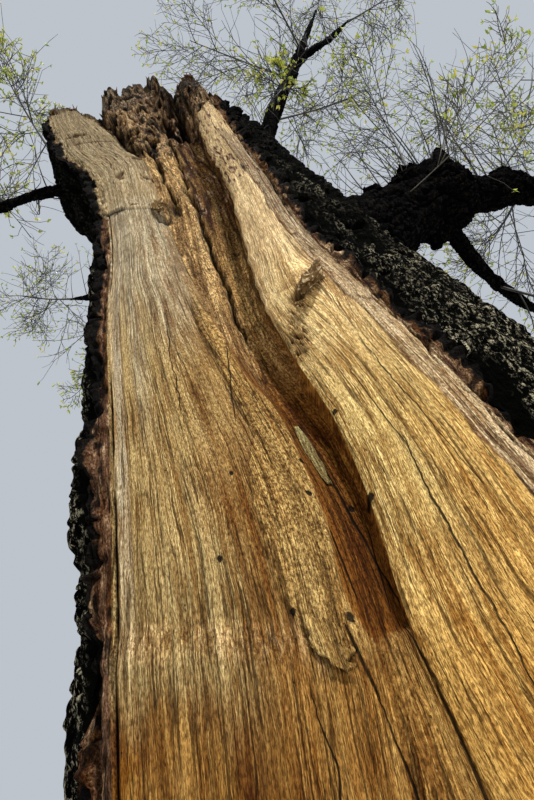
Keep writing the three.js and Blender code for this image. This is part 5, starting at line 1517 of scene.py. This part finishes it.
def limb_surface(stops, spacing, bark_size, is_blunt):
    """Rows and columns round a tapering limb, closed at both ends, with bark relief."""
    stops = np.array(stops)
    dense = np.linspace(0, len(stops) - 1, 400)
    path = np.stack([along(list(enumerate(stops[:, axis])), dense) for axis in range(4)], -1)
    length = np.concatenate([[0], np.cumsum(np.linalg.norm(np.diff(path[:, :3], axis=0), axis=1))])
    rows = max(int(length[-1] / spacing), 8)
    at = np.linspace(0, length[-1], rows + 1)
    path = np.stack([np.interp(at, length, path[:, axis]) for axis in range(4)], -1)
    if not is_blunt:
        path[:, 3] *= mix(1, LIMB_TIP, rise(1 - LIMB_TAPER, 1, at / length[-1]))
    ahead = np.gradient(path[:, :3], axis=0)
    ahead /= np.linalg.norm(ahead, axis=1, keepdims=True)
    side = np.cross(ahead[0], (0.2, 1.0, 0.1))
    sides = []
    for direction in ahead:
        side = side - direction * side.dot(direction)
        side = side / np.linalg.norm(side)
        sides.append(side)
    sides = np.array(sides)
    across = np.cross(ahead, sides)
    columns = int(np.clip(2 * np.pi * stops[:, 3].max() / spacing, 10, 190))
    angle = 2 * np.pi * np.arange(columns + 1) / columns
    angle[-1] = 0
    out = np.cos(angle)[None, :, None] * sides[:, None] + np.sin(angle)[None, :, None] * across[:, None]
    radius = path[:, 3][:, None] * np.ones(columns + 1)
    local = [a / bark_size for a in (radius * np.cos(angle), radius * np.sin(angle), at[:, None] + 0 * angle)]
    height, ridge = bark_relief(*local)
    height = height * np.minimum(1, radius / (0.1 * bark_size))
    corners = path[:, None, :3] + out * (radius + height * bark_size * 1.25)[..., None]
    # A rounded tip: a few rings that close on one point
    tip = path[-1, :3] + ahead[-1] * 0.5 * path[-1, 3]
    caps = []
    for share in (0.55, 0.9, 1.0):
        ring = mix(corners[-1], tip, share) + ahead[-1] * 0.25 * path[-1, 3] * math.sin(math.pi * share)
        caps.append(ring if share < 1 else np.broadcast_to(tip, ring.shape))
    start = np.broadcast_to(path[0, :3], corners[:1].shape)
    corners = np.concatenate([start, corners, np.array(caps)])
    ridge = np.concatenate([ridge[:1], ridge, np.repeat(ridge[-1:], 3, 0)])
    return corners, ridge


def make_limbs(material):
    for name, stops in LIMBS.items():
        corners, ridge = limb_surface(stops, *LIMB_FINENESS.get(name, USUAL_FINENESS), name in BLUNT_LIMBS)
        tone = np.repeat(ridge[..., None], 3, -1)
        piece = grid_piece(name + "_bark", corners, None, tone, is_closed=True)
        dress(piece, [material], [name])


def rough_lump(name, seed, place, sizes, lean):
    """A rough lump of wood; lean turns its long side up to the right."""
    bm = bmesh.new()
    bmesh.ops.create_icosphere(bm, subdivisions=5, radius=1)
    mesh, flat = mesh_from(name, bm)
    flat = flat.astype(float)
    spread = 1 + 0.5 * rough(*(flat.T / 0.7), seed) + 0.32 * rough(*(flat.T / 0.26), seed + 1)
    ridge = rise(-0.5, 0.5, rough(*(flat.T / 0.2), seed + 2))
    x, y, z = (flat * (spread + 0.14 * ridge)[:, None] * sizes).T
    across, up = x * math.cos(lean) - z * math.sin(lean), x * math.sin(lean) + z * math.cos(lean)
    move_corners(mesh, np.stack([across, y, up], -1) + place)
    paint(mesh, np.repeat(ridge, 4))
    mesh.shade_smooth()
    return linked_piece(name, mesh)


def make_knobs(material):
    """Lumps where old shoots have been shed, on the bough and its arm."""
    for number, (x, y, z, radius) in enumerate(KNOBS):
        sizes = (1.25 * radius, radius, 0.9 * radius)
        piece = rough_lump(f"bough_knob_{number + 1}", KNOB_SEED + number, (x, y, z), sizes, 0)
        dress(piece, [material], ["bough_arm" if x > 2 else "bough_root"])


def make_face_knots(corners, material):
    """Stubs of old branches in the torn face."""
    for name, x, z, sizes, lean in FACE_KNOTS:
        y = resting_y(corners, np.array(x), np.array(z)) - 0.6 * sizes[1]
        piece = rough_lump(name, KNOT_SEED, (x, float(y), z), sizes, lean)
        dress(piece, [material], ["trunk"])


# Masses of twigs

# Many twigs at once: each runs from start through bend to end, tapers from thick to thin, and
# swings to its sway on the way
Twigs = namedtuple("Twigs", "start bend end thick thin sway", defaults=(None,))


def gather(sets):
    return Twigs(*(np.concatenate(parts) for parts in zip(*sets)))


def chosen(twigs, keep):
    return Twigs(*(part[keep] for part in twigs))


def place_on(twigs, share):
    """Places at a share of each twig's length."""
    t = np.asarray(share)[..., None]
    curve = (1 - t) ** 2 * twigs.start + 2 * (1 - t) * t * twigs.bend + t**2 * twigs.end
    return curve + twigs.sway * np.sin(2 * np.pi * t) * t


def heading_on(twigs, share):
    share = np.asarray(share)
    way = place_on(twigs, share + 0.01) - place_on(twigs, share - 0.01)
    return way / np.linalg.norm(way, axis=-1, keepdims=True)


def seeded(seed):
    """The source's own repeatable random numbers."""
    state = seed

    def draw():
        nonlocal state
        state = (state * 1664525 + 1013904223) % 4294967296
        return state / 4294967296

    return draw


def varied(draw):
    return 1 + SIZE_SPREAD * (draw() - 0.5)


def distance_to_lines(points, starts, ends):
    """Distance of each point to each straight line, as points by lines."""
    way = ends - starts
    share = np.einsum("pla,la->pl", points[:, None] - starts, way) / (way**2).sum(-1)
    nearest = starts + np.clip(share, 0, 1)[..., None] * way
    return np.linalg.norm(points[:, None] - nearest, axis=-1)


MASS_ROOTS = np.array([mass[1] for mass in MASSES])
MASS_TIPS = np.array([mass[2] for mass in MASSES])
LIMB_STARTS = np.array([stops[i][:3] for stops in LIMBS.values() for i in range(len(stops) - 1)])
LIMB_ENDS = np.array([stops[i + 1][:3] for stops in LIMBS.values() for i in range(len(stops) - 1)])
LIMB_RADII = np.array([max(stops[i][3], stops[i + 1][3])
                       for stops in LIMBS.values() for i in range(len(stops) - 1)])


def near_trunk(points, margin):
    x, y, z = points.T
    top = max(height for _, height in TOP_OF_FACE)
    rim_depth = along(RIM_DEPTH, z)
    half = (along(RIGHT_SIDE, z) - along(LEFT_SIDE, z)) / 2 + margin
    depth = np.where(y > 0, along(BACK_SIDE, z), FRONT_DEPTH) + margin
    inside = np.hypot((x - trunk_middle(z)) / half, y / depth) < 1
    return inside & (z <= top + margin) & (y >= rim_depth - LOBE_BULGE - ROT_BULGE - margin)


def near_limb(points, margin):
    return (distance_to_lines(points, LIMB_STARTS, LIMB_ENDS) < LIMB_RADII + margin).any(1)


def in_own_space(points, index, overlap=-SPACE_MARGIN):
    """True nearer to a mass's own line than to any other's, by the overlap, and clear of the wood."""
    distance = distance_to_lines(points, MASS_ROOTS, MASS_TIPS)
    others = np.delete(distance, index, 1).min(1)
    is_own = others + overlap > distance[:, index]
    return is_own & ~near_limb(points, LIMB_MARGIN) & ~near_trunk(points, LIMB_MARGIN)


def one_twig(start, bend, end, thick, thin):
    lines = [np.array([line], dtype=float) for line in (start, bend, end)]
    return Twigs(*lines, np.array([thick]), np.array([thin]), np.zeros((1, 3)))


def mass_rule(index):
    """The stem of a mass and the side twigs that fit its space, as in the solids."""
    _, root, tip, count, length = MASSES[index]
    draw = seeded(FIRST_SEED + index)
    start, end = np.array(root), np.array(tip)
    bend = (start + end) / 2
    bend[2] -= STEM_SAG * np.linalg.norm(end - start)
    stem = one_twig(start, bend, end, STEM_RADIUS, STEM_TIP_RADIUS)
    twigs = [stem]
    for number in range(count):
        share = FIRST_TWIG + TWIG_SPAN * (number + 0.5) / count
        foot = Vector(place_on(stem, share)[0])
        ahead = Vector(heading_on(stem, share)[0])
        side = SIDEWAYS.cross(ahead).normalized()
        side.rotate(Matrix.Rotation(number * GOLDEN_ANGLE + TWIG_TURN_SPREAD * draw(), 3, ahead))
        lean = TWIG_LEAN + TWIG_LEAN_SPREAD * draw()
        out = ahead * math.cos(lean) + side * math.sin(lean)
        reach = length * (1 - TWIG_TAPER * share) * varied(draw)
        head = foot + out * reach
        head.z += TWIG_LIFT * reach
        thick = TWIG_RADIUS * (STEM_RADIUS + (STEM_TIP_RADIUS - STEM_RADIUS) * share)
        twig = one_twig(foot, foot + out * TWIG_BEND * reach, head, thick, TWIG_TIP_RADIUS)
        checked = np.concatenate([place_on(twig, place) for place in CHECKED_PLACES])
        if in_own_space(checked, index).all():
            twigs.append(twig)
            for _ in range(LEAVES_PER_TWIG * DRAWS_PER_LEAF):
                draw()
    return gather(twigs)


def side_twigs(parents, count, reach_share, thick, thin, rng, lean=(26, 34)):
    """Finer twigs by the same rule: spaced up each parent and turned round it by the golden angle."""
    number = np.tile(np.arange(count), len(parents.start))
    old = chosen(parents, np.repeat(np.arange(len(parents.start)), count))
    share = FIRST_FINE_TWIG + FINE_TWIG_SPAN * (number + rng.random(len(number))) / count
    foot, ahead = place_on(old, share), heading_on(old, share)
    side = np.cross(tuple(SIDEWAYS), ahead)
    side /= np.linalg.norm(side, axis=1, keepdims=True)
    turn = (number * GOLDEN_ANGLE + TWIG_TURN_SPREAD * rng.random(len(number)))[:, None]
    side = side * np.cos(turn) + np.cross(ahead, side) * np.sin(turn)
    angle = np.radians(lean[0] + lean[1] * rng.random(len(number)))[:, None]
    out = ahead * np.cos(angle) + side * np.sin(angle)
    length = np.linalg.norm(old.end - old.start, axis=1)
    vary = 1 + 2 * SIZE_SPREAD * (rng.random(len(number)) - 0.5)
    reach = (np.minimum(length, LONGEST_PARENT) * reach_share * (1 - TWIG_TAPER * share) * vary)[:, None]
    head = foot + out * reach
    head[:, 2] += TWIG_LIFT * reach[:, 0]
    bend = foot + out * TWIG_BEND * reach + rng.normal(0, 0.09, foot.shape) * reach
    sway = rng.normal(0, FINE_SWAY, foot.shape) * reach
    radius = mix(old.thick, old.thin, share) * 0.9
    return Twigs(foot, bend, head, np.minimum(thick, radius), np.minimum(thin, radius), sway)


def that_fit(twigs, index, overlap):
    """The twigs whose middles and ends stay in the mass's space and in the tree's own box."""
    low, high = np.array(CAD_BOX[0]) + 0.01, np.array(CAD_BOX[1]) - 0.01
    keep = ((twigs.end > low) & (twigs.end < high)).all(1)
    for share in (0.5, 1.0):
        keep &= in_own_space(place_on(twigs, share), index, overlap)
    return chosen(twigs, keep)


def tubes(twigs, sides, steps):
    """Corners and faces of tapering tubes with closed ends."""
    shares = np.arange(steps + 1) / steps
    count = len(twigs.start)
    middles = np.stack([place_on(twigs, np.full(count, t)) for t in shares], 1)
    ahead = np.stack([heading_on(twigs, np.full(count, t)) for t in shares], 1)
    side = np.cross(ahead, tuple(SIDEWAYS.normalized()))
    side /= np.linalg.norm(side, axis=-1, keepdims=True)
    across = np.cross(ahead, side)
    angle = 2 * np.pi * np.arange(sides) / sides
    out = np.cos(angle)[:, None] * side[:, :, None] + np.sin(angle)[:, None] * across[:, :, None]
    radius = mix(twigs.thick[:, None], twigs.thin[:, None], shares)
    rings = middles[:, :, None] + out * radius[:, :, None, None]
    tip = twigs.end + ahead[:, -1] * twigs.thin[:, None]
    corners = np.concatenate([rings.reshape(count, -1, 3), twigs.start[:, None], tip[:, None]], 1)
    faces = []
    for ring in range(steps):
        for i in range(sides):
            a, b = ring * sides + i, ring * sides + (i + 1) % sides
            faces += [(a, b, b + sides), (a, b + sides, a + sides)]
    start, end, last = (steps + 1) * sides, (steps + 1) * sides + 1, steps * sides
    for i in range(sides):
        after = (i + 1) % sides
        faces += [(start, after, i), (end, last + i, last + after)]
    faces = np.array(faces)[None] + (np.arange(count) * corners.shape[1])[:, None, None]
    return corners.reshape(-1, 3), faces.reshape(-1, 3)


# Finer twigs than the solids', and their leaves
FIRST_FINE_TWIG, FINE_TWIG_SPAN = 0.1, 0.88
LONGEST_PARENT = 1.5
FINE_SWAY = 0.035
STEM_SLIMNESS, FRONT_SLIMNESS = 0.6, 0.16
# How far the bough's slender shoots may lean into the space of other masses
WHIP_OVERLAP = 0.9
LEAF_SHAPE = np.array([(0, 0, 0), (0.45, 0.5, 0.1), (1, 0, -0.06), (0.45, -0.5, 0.1), (0.5, 0, 0)])
LEAF_FACES = np.array([(0, 4, 1), (1, 4, 2), (2, 4, 3), (3, 4, 0)])
SPRAY_LEAF = 0.042
SPRAY_WIDTH = 0.46
SPRAY_KINDS = (0.45, 0.3, 0.25)
LEAFIEST = {"left_tip_shoots": 2.2, "left_branch_shoots": 1.5}
# Orders of finer twigs: number on each parent, length as a share of the parent's, radius at foot and tip
SECOND_TWIGS, THIRD_TWIGS = (11, 0.55, 0.0052, 0.0026), (7, 0.62, 0.0032, 0.0017)
OFFSHOOTS = (3, 0.32, 0.0022, 0.0014)
SECOND_OVERLAP, THIRD_OVERLAP = 0.25, 0.3


def leaf_sprays(twigs, share, leaves, chance, rng):
    """Small leaves in sprays at a share of some of the twigs: corners, faces and each face's colour."""
    twigs = chosen(twigs, rng.random(len(twigs.start)) < chance)
    count = len(twigs.start)
    twigs = chosen(twigs, np.repeat(np.arange(count), leaves))
    kinds = np.repeat(np.repeat(rng.choice(3, count, p=SPRAY_KINDS), leaves), len(LEAF_FACES))
    at = share - 0.05 * rng.random(len(twigs.start))
    foot, ahead = place_on(twigs, at), heading_on(twigs, at)
    side = np.cross(rng.normal(size=foot.shape), ahead)
    side /= np.linalg.norm(side, axis=1, keepdims=True)
    out = ahead + side * rng.uniform(0.4, 1.3, len(foot))[:, None]
    out /= np.linalg.norm(out, axis=1, keepdims=True)
    wide = np.cross(out, rng.normal(size=foot.shape))
    wide /= np.linalg.norm(wide, axis=1, keepdims=True)
    up = np.cross(out, wide)
    length = (SPRAY_LEAF * rng.uniform(0.5, 1.15, len(foot)))[:, None, None]
    shape = (LEAF_SHAPE[:, 0, None] * out[:, None] + LEAF_SHAPE[:, 1, None] * SPRAY_WIDTH * wide[:, None]
             + LEAF_SHAPE[:, 2, None] * up[:, None])
    corners = foot[:, None] + shape * length
    faces = LEAF_FACES[None] + (np.arange(len(foot)) * len(LEAF_SHAPE))[:, None, None]
    return corners.reshape(-1, 3), faces.reshape(-1, 3), kinds


def stack_shapes(shapes):
    """Joins lists of corners and faces into one."""
    corners, faces, base = [], [], 0
    for points, triangles, *_ in shapes:
        corners.append(points)
        faces.append(triangles + base)
        base += len(points)
    return np.concatenate(corners), np.concatenate(faces)


# Slender shoots that stand up along the limbs, by the mass they are joined to: limb, the stops
# between which they stand, their number and longest reach
WHIPS = {
    "knob_shoots": [("bough_root", 2.6, 6.0, 46, 1.25), ("bough_arm", 0.3, 6.6, 40, 1.25)],
    "slim_limb_low": [("slim_upper_limb", 1.5, 6.8, 36, 0.9), ("slim_side_limb", 0.6, 3.0, 14, 0.6)],
    "back_limb_inner": [("back_limb", 1.2, 4.0, 26, 0.85), ("back_side_limb", 0.8, 3.0, 22, 0.75)],
    "rear_limb_side": [("rear_limb", 0.8, 4.0, 30, 0.8)],
    "left_branch_shoots": [("left_branch", 1.0, 4.0, 14, 0.7)],
}


def limb_whips(places, rng):
    """Slender shoots that stand up all along some limbs."""
    ends = []
    for name, first, last, count, longest in places:
        stops = np.array(LIMBS[name])
        at = rng.uniform(first, last, count)
        path = np.stack([np.interp(at, np.arange(len(stops)), stops[:, axis]) for axis in range(4)], -1)
        around_limb = rng.uniform(-1.2, 1.2, count)
        out = np.stack([0.25 * rng.normal(size=count), np.sin(around_limb), np.cos(around_limb)], -1)
        out /= np.linalg.norm(out, axis=1, keepdims=True)
        foot = path[:, :3] + out * path[:, 3:] * 0.8
        reach = rng.uniform(0.35, longest, count)[:, None]
        head = foot + (out * 0.6 + (0, 0, 0.75)) * reach
        ends.append(Twigs(foot, foot + out * 0.5 * reach, head, rng.uniform(0.0035, 0.0065, count),
                          np.full(count, 0.0018), rng.normal(0, 0.03, foot.shape) * reach))
    return gather(ends)


def make_masses(materials):
    """Twigs and leaves of every mass, joined by the limb that carries them."""
    order = [mass[0] for mass in MASSES]
    for group, masses in MASS_GROUPS.items():
        wood, leaves = [], []
        for mass in masses:
            index = order.index(mass[0])
            rng = np.random.default_rng(FIRST_SEED + index)
            first = mass_rule(index)
            slimness = FRONT_SLIMNESS if group == "bough_front" else STEM_SLIMNESS
            slim = first._replace(thick=first.thick * slimness)
            slim.sway[1:] = rng.normal(0, 0.02, slim.sway[1:].shape) * np.linalg.norm(
                slim.end[1:] - slim.start[1:], axis=1, keepdims=True)
            second = that_fit(side_twigs(slim, *SECOND_TWIGS, rng), index, SECOND_OVERLAP)
            third = that_fit(side_twigs(second, *THIRD_TWIGS, rng), index, THIRD_OVERLAP)
            wood += [tubes(slim, 6, 10), tubes(second, 4, 6), tubes(third, 3, 4)]
            leafiness = LEAFIEST.get(mass[0], 1)
            leaves += [leaf_sprays(*spray, rng) for spray in (
                (third, 1.0, 3, 0.42 * leafiness), (third, 0.6, 2, 0.14 * leafiness),
                (second, 1.0, 3, 0.5), (second, 0.55, 2, 0.3),
            )]
            if mass[0] in WHIPS:
                whips = limb_whips(WHIPS[mass[0]], rng)
                offshoots = that_fit(side_twigs(whips, *OFFSHOOTS, rng), index, WHIP_OVERLAP)
                wood += [tubes(whips, 4, 8), tubes(offshoots, 3, 4)]
                leaves += [leaf_sprays(whips, 1.0, 3, 0.5, rng), leaf_sprays(offshoots, 1.0, 2, 0.4, rng)]
        names = [mass[0] for mass in masses]
        corners, faces = stack_shapes(wood)
        piece = joined_piece(group + "_twigs", corners, faces)
        dress(piece, [materials["young twig" if group == "bough_front" else "twig"]], names)
        corners, faces = stack_shapes(leaves)
        kinds = np.concatenate([spray[2] for spray in leaves])
        piece = joined_piece(group + "_leaves", corners, faces, kinds, is_smooth=False)
        dress(piece, materials["leaves"], names)


# The whole tree

set_camera()
set_light()

GROUPS = {"grain": wood_grain_group(), "split": split_line_group(), "holes": insect_holes_group(),
          "bored": bored_hole_group(), "lichen": lichen_group()}
MATERIALS = {
    "wood": wood_material("torn wood", GROUPS, (0.003, 0.075), (0.4, 0.27, 0.14), 0.75, SPLITS,
                          BORED_HOLES),
    "rot": wood_material("rotten wood", GROUPS, (0.004, 0.07), (0.34, 0.22, 0.12), 0.85, SPLITS[:6],
                         BORED_HOLES[:6], relief=0.007, faintest=0.8),
    "frayed": wood_material("frayed bark", GROUPS, (0.004, 0.05), (0.4, 0.32, 0.26), 0.9, relief=0.007,
                            faintest=0.9),
    "bark": bark_material("furrowed bark", GROUPS, srgb(3, 3, 2), srgb(22, 20, 17), srgb(176, 166, 136),
                          0.34),
    "limb bark": bark_material("limb bark", GROUPS, srgb(5, 4, 4), srgb(28, 25, 22), srgb(58, 53, 45), 0.34),
    "knot": bark_material("knot wood", GROUPS, srgb(108, 84, 54), srgb(194, 166, 120),
                          srgb(232, 212, 172), 0.0, relief=0.008),
    "twig": twig_material("twig bark", srgb(26, 22, 18), srgb(52, 46, 34)),
    "young twig": twig_material("young twig bark", srgb(48, 43, 30), srgb(84, 78, 52)),
    "leaves": [leaf_material("spring leaf", srgb(182, 190, 62)),
               leaf_material("young leaf", srgb(146, 162, 52)),
               leaf_material("bud leaf", srgb(214, 206, 92))],
}
SLIVER_TONE = srgb(164, 152, 104)

FACE = make_trunk(MATERIALS)
make_shard("pale_sliver", FACE, (0.002, 2.585), (-0.024, 2.868), 0.032, 0.005, (0.002, 0.004), 0.25,
           MATERIALS["frayed"], SLIVER_TONE)
make_shard("raised_flake", FACE, (-0.122, 2.045), (-0.158, 2.175), 0.062, 0.006, (0.012, 0.002), 0.8,
           MATERIALS["rot"], OLIVE_TAN)
make_splinters(FACE, MATERIALS["frayed"])
make_face_knots(FACE, MATERIALS["knot"])
make_limbs(MATERIALS["limb bark"])
make_knobs(MATERIALS["limb bark"])
make_masses(MATERIALS)

bpy.ops.mesh.primitive_plane_add(size=FLOOR_SIZE, location=(0, 0, 0))
floor = bpy.context.object
floor.name = "floor"
floor.data.materials.append(floor_material())
